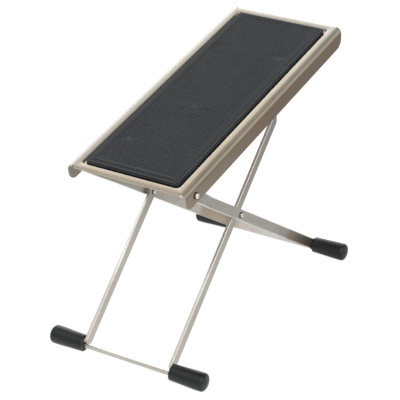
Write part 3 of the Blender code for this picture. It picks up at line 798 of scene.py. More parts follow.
def piece(name: str, built: bmesh.types.BMesh, place: Placement, look: bpy.types.Material,
          body: str, stands_for: Sequence[str] = (), sharp: float = 35.0) -> bpy.types.Object:
    """Lay a mesh into the footrest's frame as a finished piece that rides on a body.

    Args:
        name: The piece's name.
        built: Its mesh in the local frame, which is used up.
        place: The local frame.
        look: Its material.
        body: The body it moves with.
        stands_for: The nodes that it replaces.
        sharp: The angle in degrees above which an edge stays sharp.

    Returns:
        The object.
    """
    bmesh.ops.transform(built, matrix=place.matrix, verts=built.verts)
    mesh = bpy.data.meshes.new(name)
    built.to_mesh(mesh)
    built.free()
    mesh.shade_smooth()
    mesh.set_sharp_from_angle(angle=radians(sharp))
    mesh.materials.append(look)
    made = linked(name, mesh)
    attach(made, body)
    if stands_for:
        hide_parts(*stands_for)
    LOG.info("%s rides on %s", name, body)
    return made


def softened(target: bpy.types.Object, width: float, segments: int = 2, angle: float = 50.0) -> None:
    """Round a piece's sharp edges and keep its flat faces flat.

    Args:
        target: The piece.
        width: The rounding's width.
        segments: How many faces it has.
        angle: The angle in degrees above which an edge is rounded.
    """
    step = target.modifiers.new("softened_edges", "BEVEL")
    step.width = width
    step.segments = segments
    step.profile = 0.5
    step.limit_method = "ANGLE"
    step.angle_limit = radians(angle)
    step.use_clamp_overlap = True
    step.harden_normals = True


def carved(target: bpy.types.Object, tools: Sequence[bmesh.types.BMesh], place: Placement) -> None:
    """Cut shapes out of a piece's mesh.

    Args:
        target: The piece.
        tools: The shapes that are cut away, in their local frame, which are used up.
        place: The local frame.
    """
    knives = []
    for tool in tools:
        bmesh.ops.transform(tool, matrix=place.matrix, verts=tool.verts)
        bmesh.ops.recalc_face_normals(tool, faces=tool.faces)
        shape = bpy.data.meshes.new("knife")
        tool.to_mesh(shape)
        tool.free()
        knife = linked("knife", shape)
        cut = target.modifiers.new("carved", "BOOLEAN")
        cut.operation = "DIFFERENCE"
        cut.solver = "EXACT"
        cut.object = knife
        knives.append(knife)
    graph = bpy.context.evaluated_depsgraph_get()
    finished = bpy.data.meshes.new_from_object(target.evaluated_get(graph), depsgraph=graph)
    target.modifiers.clear()
    old = target.data
    target.data = finished
    bpy.data.meshes.remove(old)
    finished.name = target.name
    for knife in knives:
        shape = knife.data
        bpy.data.objects.remove(knife)
        bpy.data.meshes.remove(shape)


# ---- The plate, its mat and its rails


@dataclass
class Tread:
    """The pressed plate, the ribbed mat in its recess and the rails under it."""

    place: Placement
    length: float = 0.2800
    width: float = 0.1120
    sheet: float = 0.0012
    bend_radius: float = 0.0050
    flange_depth: float = 0.0176
    flange_corner: float = 0.0090
    lip_depth: float = 0.0024
    lip_radius: float = 0.0016
    relief_inset: float = 0.0003
    relief_width: float = 0.0006
    recess_depth: float = 0.0018
    recess_lip: float = 0.0016
    recess_foot: float = 0.0008
    recess_corner: float = 0.0046
    mat_length: float = 0.2604
    mat_width: float = 0.0862
    mat_corner: float = 0.0022
    mat_gap: float = 0.0020
    mat_proud: float = 0.0017
    mat_edge: float = 0.0003
    ledge: float = 0.0009
    ledge_top: float = 0.0001
    ledge_round: float = 0.0002
    border: float = 0.0046
    border_line: float = 0.0028
    line_width: float = 0.0009
    line_depth: float = 0.0003
    rib_pitch: float = 0.00225
    groove_width: float = 0.0011
    groove_depth: float = 0.00016
    patch_middle: float = 0.1125
    patch_length: float = 0.0034
    patch_width: float = 0.0064
    stud_rows: tuple[float, float] = (0.0510, 0.2110)
    stud_half_spread: float = 0.0285
    stud_radius: float = 0.0025
    stud_head_radius: float = 0.0039
    stud_head_depth: float = 0.0020
    stud_head_round: float = 0.0007
    sink_radius: float = 0.0075
    sink_depth: float = 0.00025
    sink_cuts: tuple[float, ...] = (-0.0050, -0.0025, 0.0, 0.0025, 0.0050)
    rib_margin: float = 0.0008
    groove_slope: float = 0.28
    line_slope: float = 0.3
    edge_round: float = 0.00025
    recess_steps_each: int = 5
    body: str = "tread"
    bend_steps: int = 12

    def build(self) -> None:
        """Make the plate and the mat, and dress the rails."""
        steel = PlateNickel().build(self.place)
        rubber = MatRubber().build(self.place)
        plate = piece("foot_plate_pressed", self.skin(), self.place, steel, self.body,
                      ["foot_plate"])
        wall = plate.modifiers.new("sheet", "SOLIDIFY")
        wall.thickness = self.sheet
        wall.offset = -1
        wall.use_even_offset = True
        softened(plate, self.edge_round)
        mat = piece("ribbed_mat", self.slab(), self.place, rubber, self.body,
                    ["rubber_mat"], 30)
        softened(mat, self.mat_edge / 4, 1, 40)
        piece("mat_studs", self.studs(), self.place, rubber, self.body)
        rail_look = Nickel("rail_nickel", roughness=0.38).build(self.place)
        for side in Side:
            rail = bpy.data.objects[f"notch_rail_{side.label}"]
            rail.data.materials.clear()
            rail.data.materials.append(rail_look)

    def skin(self) -> bmesh.types.BMesh:
        """Return the plate's upper skin: band, recess, flanges and end lips."""
        built = bmesh.new()
        run, shape = self.recess_steps()
        beyond = self.mat_gap + run
        mouth = rounded_panel(built, self.mat_width / 2 + beyond, self.mat_length / 2 + beyond,
                              self.length / 2, 0.0, self.recess_corner, 10)
        rim = list(mouth.edges)
        flat = self.width / 2 - self.bend_radius
        slit = flat - self.relief_inset
        inner = slit - self.relief_width
        deep = self.lip_radius
        half_end = [(flat, 0), (slit, 0), (slit, deep), (inner, deep)]
        end = half_end + [(-x, u) for x, u in reversed(half_end)]
        front = [built.verts.new((-x, u, 0)) for x, u in end]
        rear = [built.verts.new((x, self.length - u, 0)) for x, u in end]
        outline = front + rear
        edges = [built.edges.new((outline[i - 1], outline[i])) for i in range(len(outline))]
        bmesh.ops.triangle_fill(built, use_beauty=True, use_dissolve=False, edges=edges + rim)
        if mouth.normal.z < 0:
            mouth.normal_flip()
        for inset, drop in shape:
            bmesh.ops.inset_region(built, faces=[mouth], thickness=inset, depth=-drop, use_even_offset=True,
                                   use_boundary=True)
        for side, pair in ((-1, (front[0], rear[-1])), (1, (front[-1], rear[0]))):
            self.flange(built, built.edges.get(pair), side)
        self.lip(built, built.edges.get((front[3], front[4])), -1)
        self.lip(built, built.edges.get((rear[3], rear[4])), 1)
        bmesh.ops.recalc_face_normals(built, faces=built.faces)
        if mouth.normal.z < 0:
            bmesh.ops.reverse_faces(built, faces=built.faces)
        return built

    def recess_steps(self) -> tuple[float, list[Point]]:
        """Return the recess wall's run, and its steps as (inset, drop) pairs."""
        swing = acos(1 - self.recess_depth / (self.recess_lip + self.recess_foot))
        steps = self.recess_steps_each
        run = (self.recess_lip + self.recess_foot) * sin(swing)
        points = [(0.0, 0.0)]
        for step in range(1, steps + 1):
            turn = swing * step / steps
            points.append((self.recess_lip * sin(turn), self.recess_lip * (1 - cos(turn))))
        for step in range(1, steps + 1):
            turn = swing * (1 - step / steps)
            points.append((run - self.recess_foot * sin(turn),
                           self.recess_depth - self.recess_foot * (1 - cos(turn))))
        return run, [(b[0] - a[0], b[1] - a[1]) for a, b in zip(points, points[1:])]

    def flange(self, built: bmesh.types.BMesh, edge: bmesh.types.BMEdge, side: int) -> None:
        """Bend one long side down and round the flange's lower corners.

        Args:
            built: The mesh.
            edge: The top face's long edge.
            side: The sign of its X.
        """
        centre = (side * (self.width / 2 - self.bend_radius), 0, -self.bend_radius)
        low = self.bent_down(built, edge, centre, (0, 1, 0), side * QUARTER, self.bend_steps,
                             self.flange_depth - self.bend_radius)
        bevelled(built, low, self.flange_corner, 12, "VERTICES")

    def lip(self, built: bmesh.types.BMesh, edge: bmesh.types.BMEdge, way: int) -> None:
        """Turn one short end down.

        Args:
            built: The mesh.
            edge: The end's edge between the relief slits.
            way: -1 for the front end and 1 for the rear end.
        """
        bend = self.lip_radius if way < 0 else self.length - self.lip_radius
        self.bent_down(built, edge, (0, bend, -self.lip_radius), (1, 0, 0), -way * QUARTER,
                       self.bend_steps // 2, self.lip_depth - self.lip_radius)

    def bent_down(self, built: bmesh.types.BMesh, edge: bmesh.types.BMEdge, centre: Sequence[float],
                  axis: Sequence[float], angle: float, steps: int, drop: float) -> list:
        """Spin an edge through a bend and draw it straight down.

        Args:
            built: The mesh.
            edge: The edge.
            centre: The bend's centre.
            axis: The bend's axis.
            angle: The bend's angle.
            steps: How many steps it has.
            drop: How far the wall below it goes down.

        Returns:
            The wall's lower vertices.
        """
        spun = bmesh.ops.spin(built, geom=[edge, *edge.verts], cent=centre, axis=axis, angle=angle,
                              steps=steps, use_duplicate=False)
        last = only(spun["geom_last"], bmesh.types.BMEdge)
        low = only(bmesh.ops.extrude_edge_only(built, edges=last)["geom"], bmesh.types.BMVert)
        bmesh.ops.translate(built, verts=low, vec=(0, 0, -drop))
        return low

    def slab(self) -> bmesh.types.BMesh:
        """Return the mat: a slab on a ledge, with end lines, cross grooves, a bare patch and sink marks."""
        built = bmesh.new()
        bottom = CLEARANCE - self.recess_depth
        middle = self.length / 2
        face = rounded_panel(built, self.mat_width / 2 + self.ledge, self.mat_length / 2 + self.ledge, middle,
                             bottom, self.mat_corner + self.ledge, 8)
        top = pushed(built, face, Vector((0, 0, self.ledge_top - bottom)))
        bmesh.ops.recalc_face_normals(built, faces=built.faces)
        bevelled(built, list(top.edges), self.ledge_round, 2)
        top = self.highest(built)
        bmesh.ops.inset_region(built, faces=[top], thickness=self.ledge - self.ledge_round,
                               use_even_offset=True)
        top = pushed(built, top, Vector((0, 0, self.mat_proud - self.ledge_top)))
        bevelled(built, list(top.edges), self.mat_edge, 3)
        self.border_lines(built, middle)
        self.ribs(built, middle)
        for x, u in self.stud_places():
            for vert in built.verts:
                reach = Vector((vert.co.x - x, vert.co.y - u)).length / self.sink_radius
                if reach < 1 and vert.co.z > 0:
                    vert.co.z -= self.sink_depth * (1 + cos(pi * reach)) / 2
        return built

    def highest(self, built: bmesh.types.BMesh) -> bmesh.types.BMFace:
        """Return the largest of a mesh's highest faces."""
        return max(built.faces, key=lambda each: (round(each.calc_center_median().z, 6), each.calc_area()))

    def sliced(self, built: bmesh.types.BMesh, cuts: Sequence[tuple[Sequence[float], Sequence[float]]],
               half_x: float, half_y: float, middle: float) -> list[bmesh.types.BMFace]:
        """Cut the mat's flat top along planes.

        Args:
            built: The mat's mesh.
            cuts: Each plane's point and normal.
            half_x: Half the size of what is cut, along X.
            half_y: Half of its size along Y.
            middle: Its centre's Y.

        Returns:
            The faces that lie in it afterwards.
        """
        faces = [face for face in built.faces if self.in_field(face, half_x, half_y, middle)]
        for spot, normal in cuts:
            geometry = {item for face in faces for item in (face, *face.edges, *face.verts)}
            bmesh.ops.bisect_plane(built, geom=list(geometry), dist=MERGE, plane_co=spot, plane_no=normal)
            faces = [face for face in built.faces if self.in_field(face, half_x, half_y, middle)]
        return faces

    def border_lines(self, built: bmesh.types.BMesh, middle: float) -> None:
        """Part the ribbed field from the border, and sink a line along both ends.

        Args:
            built: The mat's mesh.
            middle: The field's middle along Y.
        """
        reach = self.mat_length / 2
        cuts = [((side * (self.mat_width / 2 - self.border), 0, 0), (1, 0, 0)) for side in (-1, 1)]
        insets = (self.border_line, self.border_line + self.line_width, self.border)
        cuts += [((0, middle + side * (reach - inset), 0), (0, 1, 0)) for side in (-1, 1) for inset in insets]
        faces = self.sliced(built, cuts, self.mat_width / 2, reach, middle)
        centres = {face: face.calc_center_bounds() for face in faces}
        lines = [face for face, centre in centres.items() if abs(centre.x) < MERGE
                 and abs(reach - abs(centre.y - middle) - self.border_line - self.line_width / 2) < MERGE]
        bmesh.ops.inset_region(built, faces=lines, thickness=self.line_width * self.line_slope,
                               depth=-self.line_depth, use_even_offset=True)

    def ribs(self, built: bmesh.types.BMesh, middle: float) -> None:
        """Cut the field into strips and sink the grooves between the ribs.

        Args:
            built: The mat's mesh.
            middle: The field's middle along Y.
        """
        half_x = self.mat_width / 2 - self.border
        half_y = self.mat_length / 2 - self.border
        count = int(2 * half_y / self.rib_pitch) - 1
        first = middle - (count - 1) * self.rib_pitch / 2
        wall = self.groove_width / 2
        cuts = []
        for index in range(count):
            y = first + index * self.rib_pitch
            cuts += [((0, y + side * wall, 0), (0, 1, 0)) for side in (-1, 1)]
        columns = [half_x - self.rib_margin, self.patch_width / 2]
        columns += [self.stud_half_spread + offset for offset in self.sink_cuts]
        cuts += [((side * x, 0, 0), (1, 0, 0)) for x in columns for side in (-1, 1)]
        faces = self.sliced(built, cuts, half_x, half_y, middle)
        grooves = [face for face in faces if self.in_groove(face, first, count, half_x)]
        bmesh.ops.inset_region(built, faces=grooves, thickness=self.groove_width * self.groove_slope,
                               depth=-self.groove_depth, use_even_offset=True)

    def in_field(self, face: bmesh.types.BMFace, half_x: float, half_y: float, middle: float) -> bool:
        """Return whether a face lies flat on top, inside a rectangle."""
        centre = face.calc_center_bounds()
        return (abs(centre.z - self.mat_proud) < MERGE
                and max(abs(vert.co.x) for vert in face.verts) < half_x + MERGE
                and max(abs(vert.co.y - middle) for vert in face.verts) < half_y + MERGE)

    def in_groove(self, face: bmesh.types.BMFace, first: float, count: int, half_x: float) -> bool:
        """Return whether a strip of the field is a groove, and not in the bare patch.

        Args:
            face: The strip.
            first: The first groove's middle.
            count: How many grooves there are.
            half_x: Half the field's width.

        Returns:
            Whether it is sunk.
        """
        centre = face.calc_center_bounds()
        step = round((centre.y - first) / self.rib_pitch)
        off = abs(centre.y - first - step * self.rib_pitch)
        bare = (abs(centre.x) < self.patch_width / 2
                and abs(centre.y - self.patch_middle) < (self.patch_length + self.groove_width) / 2)
        return (0 <= step < count and off < self.groove_width / 4
                and abs(centre.x) < half_x - self.rib_margin and not bare)

    def stud_places(self) -> list[Point]:
        """Return the (x, u) places of the studs."""
        return [(side.value * self.stud_half_spread, u) for u in self.stud_rows for side in Side]

    def studs(self) -> bmesh.types.BMesh:
        """Return the four moulded studs whose heads spread under the plate."""
        built = bmesh.new()
        high = CLEARANCE - self.recess_depth
        under = -self.recess_depth - self.sheet - CLEARANCE
        low = under - self.stud_head_depth
        soft = self.stud_head_round
        round_head = arc((under - soft, self.stud_head_radius - soft), soft, pi, QUARTER, 4)
        profile = [(low, 0), (low, self.stud_radius * 0.7), *round_head, (under, self.stud_head_radius),
                   (under, self.stud_radius), (high, self.stud_radius), (high, 0)]
        for x, u in self.stud_places():
            stud = turned(profile, 32)
            bmesh.ops.rotate(stud, verts=stud.verts, cent=(0, 0, 0), matrix=Matrix.Rotation(-QUARTER, 3, "Y"))
            bmesh.ops.translate(stud, verts=stud.verts, vec=(x, u, 0))
            spare = bpy.data.meshes.new("spare")
            stud.to_mesh(spare)
            stud.free()
            built.from_mesh(spare)
            bpy.data.meshes.remove(spare)
        return built


# ---- The leg frames


@dataclass
class Rivet:
    """A rivet between two faces, with a domed head outside and a domed tail inside."""

    outer: float
    inner: float
    shank: float
    head: float
    height: float
    steps: int = 8

    def build(self, side: Side, y: float) -> bmesh.types.BMesh:
        """Return the rivet's mesh.

        Args:
            side: The side of the footrest.
            y: Its local Y.

        Returns:
            The mesh.
        """
        outside = self.dome(self.outer + CLEARANCE, 1)
        inside = self.dome(self.inner - CLEARANCE, -1)
        profile = list(reversed(inside)) + [(self.inner - CLEARANCE, self.shank / 2)]
        profile += [(self.outer + CLEARANCE, self.shank / 2)] + outside
        return on_side(turned(profile, 40), side, 0.0, y)

    def dome(self, face: float, outward: int) -> list[Point]:
        """Return the points of a head: a thin collar with a round dome on it.

        Args:
            face: The X of the face it lies on.
            outward: The sign of the X it points to.

        Returns:
            (x, radius) points, the last one on the axis.
        """
        rim = self.head / 2
        collar = self.height * 0.26
        top = rim * 0.74
        points = [(face, rim - 0.0001), (face + outward * 0.0001, rim),
                  (face + outward * (collar - 0.00015), rim),
                  (face + outward * collar, rim - 0.00018), (face + outward * collar, top)]
        for step in range(1, self.steps + 1):
            turn = QUARTER * step / self.steps
            points.append((face + outward * (collar + (self.height - collar) * sin(turn)), top * cos(turn)))
        points[-1] = (points[-1][0], 0)
        return points


@dataclass
class Cap:
    """A rubber cap over a leg's tab and a crossbar's end."""

    length: float = 0.0338
    outer_radius: float = 0.0081
    inner_radius: float = 0.0073
    outer_round: float = 0.0032
    mouth_round: float = 0.0007
    dome: float = 0.0010
    straight: float = 0.0100
    tab_length: float = 0.0220
    bar_width: float = 0.0094
    bar_thickness: float = 0.0030
    tab_lift: float = 0.0015
    rod_radius: float = 0.0017
    socket: float = 0.0180
    overrun: float = 0.0020
    bend_room: float = 0.0014

    def build(self, side: Side, mouth: float, foot_y: float) -> bmesh.types.BMesh:
        """Return the cap's outer form.

        Args:
            side: The side of the footrest.
            mouth: The X of its inner end.
            foot_y: The local Y of its axis.

        Returns:
            The mesh.
        """
        end = self.length
        lip = arc((self.mouth_round, self.inner_radius - self.mouth_round), self.mouth_round, pi, QUARTER, 4)
        rounding = arc((end - self.outer_round, self.outer_radius - self.outer_round), self.outer_round,
                       QUARTER, 0, 8)
        profile = [(0, 0), *lip, (end * 0.35, self.inner_radius + 0.0003),
                   (end - self.straight, self.outer_radius)]
        profile += [(x - self.dome, radius) for x, radius in rounding]
        flat = self.outer_radius - self.outer_round
        profile += [(end - self.dome * 0.4, flat * 0.6), (end - self.dome * 0.1, flat * 0.25),
                    (end - self.dome * 0.1, 0)]
        return on_side(turned(profile, 56), side, mouth, foot_y)

    def openings(self, side: Side, mouth: float, foot_y: float, outward: int,
                 rod_y: float) -> list[bmesh.types.BMesh]:
        """Return the shapes that are cut out of the cap for the tab, its bend and the crossbar.

        Args:
            side: The side of the footrest.
            mouth: The X of the cap's inner end.
            foot_y: The local Y of its axis.
            outward: The sign of the local Y towards the floor.
            rod_y: The local Y of the crossbar.

        Returns:
            The shapes.
        """
        tab_y = foot_y - outward * self.tab_lift
        high = 2 * (self.bar_thickness / 2 + CLEARANCE)
        wide = self.bar_width + 2 * CLEARANCE
        deep = self.tab_length + CLEARANCE
        slot = self.block(side.value * (mouth + (deep - self.overrun) / 2), tab_y,
                          (deep + self.overrun, high, wide))
        bend = self.block(side.value * mouth, tab_y - outward * self.bend_room / 2,
                          (2 * self.bend_room, high + self.bend_room, wide + 2 * CLEARANCE))
        bore = bmesh.new()
        reach = self.socket + 2 * self.overrun
        spot = Matrix.Translation((side.value * (mouth + self.socket / 2), rod_y, 0))
        radius = self.rod_radius + CLEARANCE
        bmesh.ops.create_cone(bore, cap_ends=True, segments=32, radius1=radius, radius2=radius, depth=reach,
                              matrix=spot @ Matrix.Rotation(QUARTER, 4, "Y"))
        return [slot, bend, bore]

    def block(self, x: float, y: float, size: Sequence[float]) -> bmesh.types.BMesh:
        """Return a block with softened edges.

        Args:
            x: Its middle's X.
            y: Its middle's local Y.
            size: Its size along X, Y and Z.

        Returns:
            The mesh.
        """
        built = bmesh.new()
        place = Matrix.Translation((x, y, 0)) @ Matrix.Diagonal((*size, 1))
        bmesh.ops.create_cube(built, size=1, matrix=place)
        bevelled(built, list(built.edges), CLEARANCE, 2)
        return built


@dataclass
class LegFrames:
    """Both leg frames: legs, crossbars, caps, rivets, washers and the locking bar."""

    frames: Frames
    bar_width: float = 0.0094
    thickness: float = 0.0030
    edge: float = 0.0007
    pivot_to_scissor: float = 0.1088
    rear_length: float = 0.2865
    below: float = 0.1477
    above: float = 0.1410
    front_outer: float = 0.0434
    front_joggle: float = 0.0037
    rear_inner: float = 0.0448
    hanger_outer: float = 0.0530
    joggle_radius: float = 0.0040
    tab_radius: float = 0.0030
    tab_lift: float = 0.0015
    tab_length: float = 0.0220
    rod_radius: float = 0.0017
    rod_chamfer: float = 0.0004
    insert: float = 0.0180
    strip_thickness: float = 0.0028
    tenon_width: float = 0.0024
    flange_outer: float = 0.0560
    scissor_rivet: tuple[float, float, float] = (0.0034, 0.0056, 0.0018)
    pivot_rivet: tuple[float, float, float] = (0.0040, 0.0064, 0.0026)
    scissor_washer: tuple[float, float, float] = (0.0008, 0.0040, 0.0020)
    pivot_washer: tuple[float, float, float] = (0.0012, 0.0045, 0.0023)
    lock_radius: float = 0.0025
    neck_radius: float = 0.0018
    peen_radius: float = 0.0027
    peen_height: float = 0.0006
    cap: Cap = field(default_factory=Cap)

    def build(self) -> None:
        """Make every piece of both frames."""
        # The legs' darker lower ends are painted shade.
        rear_look = Nickel("rear_leg_nickel", film=(0.50, 0.42, 0.32), film_from=0.222, film_to=0.234,
                           film_strength=0.9, half_width=self.bar_width / 2).build(self.frames.rear)
        front_look = Nickel("front_leg_nickel", film=(0.50, 0.47, 0.41), film_from=-0.05, film_to=-0.09,
                            half_width=self.bar_width / 2).build(self.frames.front)
        # The strip's near-white tones are a painted sheen, and its darker left end is painted shade.
        strip_look = Nickel("rear_strip_nickel", bright=(0.97, 0.96, 0.95), dull=(0.86, 0.85, 0.83),
                            film=(0.60, 0.59, 0.55), film_from=-0.022, film_to=-0.034, film_strength=1.0,
                            film_across=True, grain=Grain.ALONG_X, roughness=0.28,
                            half_width=self.bar_width / 2).build(self.frames.rear)
        rod_look = Nickel("front_rod_nickel", grain=Grain.ALONG_X, roughness=0.28).build(self.frames.front)
        bright = Nickel("bright_nickel", bright=(0.80, 0.77, 0.71), dull=(0.66, 0.63, 0.57), roughness=0.20,
                        grain=Grain.AROUND_X).build(Placement())
        rivets = RivetNickel().build(self.frames.rear)
        rubber = CapRubber().build(Placement())
        half = self.thickness / 2
        rear_outer = self.rear_inner + self.thickness
        upper = self.front_outer - self.front_joggle
        tab = self.tab_length + CLEARANCE
        rear_corners = [(self.hanger_outer - half, -self.bar_width / 2), (self.hanger_outer - half, 0.0265),
                        (rear_outer - half, 0.0475), (rear_outer - half, self.rear_length - self.tab_lift),
                        (rear_outer + tab, self.rear_length - self.tab_lift)]
        front_corners = [(upper - half, self.above + self.bar_width / 2), (upper - half, 0.1006),
                         (self.front_outer - half, 0.0914),
                         (self.front_outer - half, self.tab_lift - self.below),
                         (self.front_outer + tab, self.tab_lift - self.below)]
        radii = (self.joggle_radius, self.joggle_radius, self.tab_radius)
        for side in Side:
            self.leg(f"rear_leg_{side.label}", side, rear_corners, radii, self.frames.rear, rear_look,
                     "rear_frame")
            self.leg(f"front_leg_{side.label}", side, front_corners, radii, self.frames.front, front_look,
                     "front_frame")
            self.foot(f"rear_foot_{side.label}", side, rear_outer + CLEARANCE, self.rear_length, 1,
                      self.frames.rear, rubber, "rear_frame")
            self.foot(f"front_foot_{side.label}", side, self.front_outer + CLEARANCE, -self.below, -1,
                      self.frames.front, rubber, "front_frame")
            self.fasteners(side, rear_outer, bright, rivets)
        self.strip(rear_outer, self.rod_y(self.rear_length, 1), strip_look)
        self.rod(rod_look)
        self.locking_bar(upper, bright)

    def leg(self, name: str, side: Side, corners: Sequence[Point], radii: Sequence[float], place: Placement,
            look: bpy.types.Material, body: str) -> None:
        """Make one flat-bar leg.

        Args:
            name: The node it replaces.
            side: The side of the footrest.
            corners: The centre line on the right side.
            radii: Its bends.
            place: The local frame.
            look: Its material.
            body: The body it moves with.
        """
        mirrored = [(side.value * x, y) for x, y in corners]
        made = piece(f"{name}_bar", Bar(self.thickness, self.bar_width).along(mirrored, radii), place, look,
                     body, [name])
        softened(made, self.edge, 3)

    def foot(self, name: str, side: Side, mouth: float, foot_y: float, outward: int, place: Placement,
             look: bpy.types.Material, body: str) -> None:
        """Make one rubber cap with its opening.

        Args:
            name: The node it replaces.
            side: The side of the footrest.
            mouth: The X of its inner end.
            foot_y: The local Y of its axis.
            outward: The sign of the local Y towards the floor.
            place: The local frame.
            look: Its material.
            body: The body it moves with.
        """
        made = piece(f"{name}_cap", self.cap.build(side, mouth, foot_y), place, look, body,
                     [name])
        carved(made, self.cap.openings(side, mouth, foot_y, outward, self.rod_y(foot_y, outward)), place)

    def rod_y(self, foot_y: float, outward: int) -> float:
        """Return the local Y of a crossbar, which lies under the legs' tabs."""
        return foot_y - outward * (self.tab_lift - self.thickness / 2 - CLEARANCE - self.rod_radius)

    def strip(self, outer: float, y: float, look: bpy.types.Material) -> None:
        """Make the flat rear crossbar with its end tenons.

        Args:
            outer: The X of the legs' outer face.
            y: Its local Y.
            look: Its material.
        """
        built = bmesh.new()
        half = outer - CLEARANCE
        size = (2 * half, self.strip_thickness, self.bar_width)
        shape = Matrix.Translation((0, y, 0)) @ Matrix.Diagonal((*size, 1))
        bmesh.ops.create_cube(built, size=1, matrix=shape)
        for height in (-self.tenon_width / 2, self.tenon_width / 2):
            bmesh.ops.bisect_plane(built, geom=[*built.verts, *built.edges, *built.faces], dist=MERGE,
                                   plane_co=(0, 0, height), plane_no=(0, 0, 1))
        for side in Side:
            centres = [(face, face.calc_center_median()) for face in built.faces]
            end = max(centres, key=lambda pair: pair[1].x * side.value - abs(pair[1].z))[0]
            pushed(built, end, Vector((side.value * (2 * CLEARANCE + self.insert), 0, 0)))
        bmesh.ops.recalc_face_normals(built, faces=built.faces)
        made = piece("rear_crossbar_strip", built, self.frames.rear, look, "rear_frame",
                     ["rear_crossbar"])
        softened(made, self.edge, 3)

    def rod(self, look: bpy.types.Material) -> None:
        """Make the round front crossbar with chamfered ends.

        Args:
            look: Its material.
        """
        reach = self.front_outer + CLEARANCE + self.insert
        slim = self.rod_radius - self.rod_chamfer
        half = [(reach - self.rod_chamfer, self.rod_radius), (reach, slim), (reach, 0)]
        built = turned([(-x, radius) for x, radius in reversed(half)] + half, 32)
        bmesh.ops.translate(built, verts=built.verts, vec=(0, self.rod_y(-self.below, -1), 0))
        piece("front_crossbar_rod", built, self.frames.front, look, "front_frame",
              ["front_crossbar"])

    def fasteners(self, side: Side, rear_outer: float, look: bpy.types.Material,
                  rivets: bpy.types.Material) -> None:
        """Make one side's rivets and washers.

        Args:
            side: The side of the footrest.
            rear_outer: The X of the rear leg's outer face.
            look: The washers' material.
            rivets: The rivets' material.
        """
        scissor = Rivet(rear_outer, self.front_outer - self.thickness, *self.scissor_rivet)
        pivot = Rivet(self.flange_outer, self.hanger_outer - self.thickness, *self.pivot_rivet)
        scissor_y = self.pivot_to_scissor
        rings = (self.washer(side, self.front_outer + CLEARANCE, *self.scissor_washer, scissor_y),
                 self.washer(side, self.hanger_outer + CLEARANCE, *self.pivot_washer, 0.0))
        for name, built, ending, finish, body in (
                ("scissor_rivet", scissor.build(side, scissor_y), "domed", rivets, "rear_frame"),
                ("pivot_rivet", pivot.build(side, 0.0), "domed", rivets, "tread"),
                ("scissor_washer", rings[0], "ring", look, "rear_frame"),
                ("pivot_washer", rings[1], "ring", look, "tread")):
            node = f"{name}_{side.label}"
            piece(f"{node}_{ending}", built, self.frames.rear, finish, body, [node])

    def washer(self, side: Side, inner_face: float, thickness: float, outer: float, bore: float,
               y: float) -> bmesh.types.BMesh:
        """Return a washer with softened rims.

        Args:
            side: The side of the footrest.
            inner_face: The X of its inner face.
            thickness: Its thickness.
            outer: Its outer radius.
            bore: Its hole's radius.
            y: Its local Y.

        Returns:
            The mesh.
        """
        soft = 0.00012
        ring = [(0, bore), (0, outer - soft), (soft, outer), (thickness - soft, outer),
                (thickness, outer - soft), (thickness, bore), (0, bore)]
        return on_side(turned(ring, 48), side, inner_face, y)

    def locking_bar(self, upper: float, look: bpy.types.Material) -> None:
        """Make the bar across the front frame's top, peened over the legs.

        Args:
            upper: The X of the legs' outer face up there.
            look: Its material.
        """
        shoulder = upper - self.thickness - CLEARANCE
        peen = upper + CLEARANCE
        tip = peen + self.peen_height
        neck, head = self.neck_radius, self.peen_radius
        half = [(shoulder - 0.0003, self.lock_radius), (shoulder, self.lock_radius - 0.0003),
                (shoulder, neck), (peen, neck), (peen, head), (peen + 0.0002, head),
                (peen + 0.00045, head - 0.0004), (tip, head - 0.0011), (tip, 0)]
        built = turned([(-x, radius) for x, radius in reversed(half)] + half, 40)
        bmesh.ops.translate(built, verts=built.verts, vec=(0, self.above, 0))
        piece("locking_bar_turned", built, self.frames.front, look, "front_frame",
              ["locking_bar"])


# ---- Studio


@dataclass(frozen=True)
class Lobe:
    """A broad patch of light in the surroundings: its direction, edge, heart and strength."""

    way: tuple[float, float, float]
    edge: float
    heart: float
    strength: float


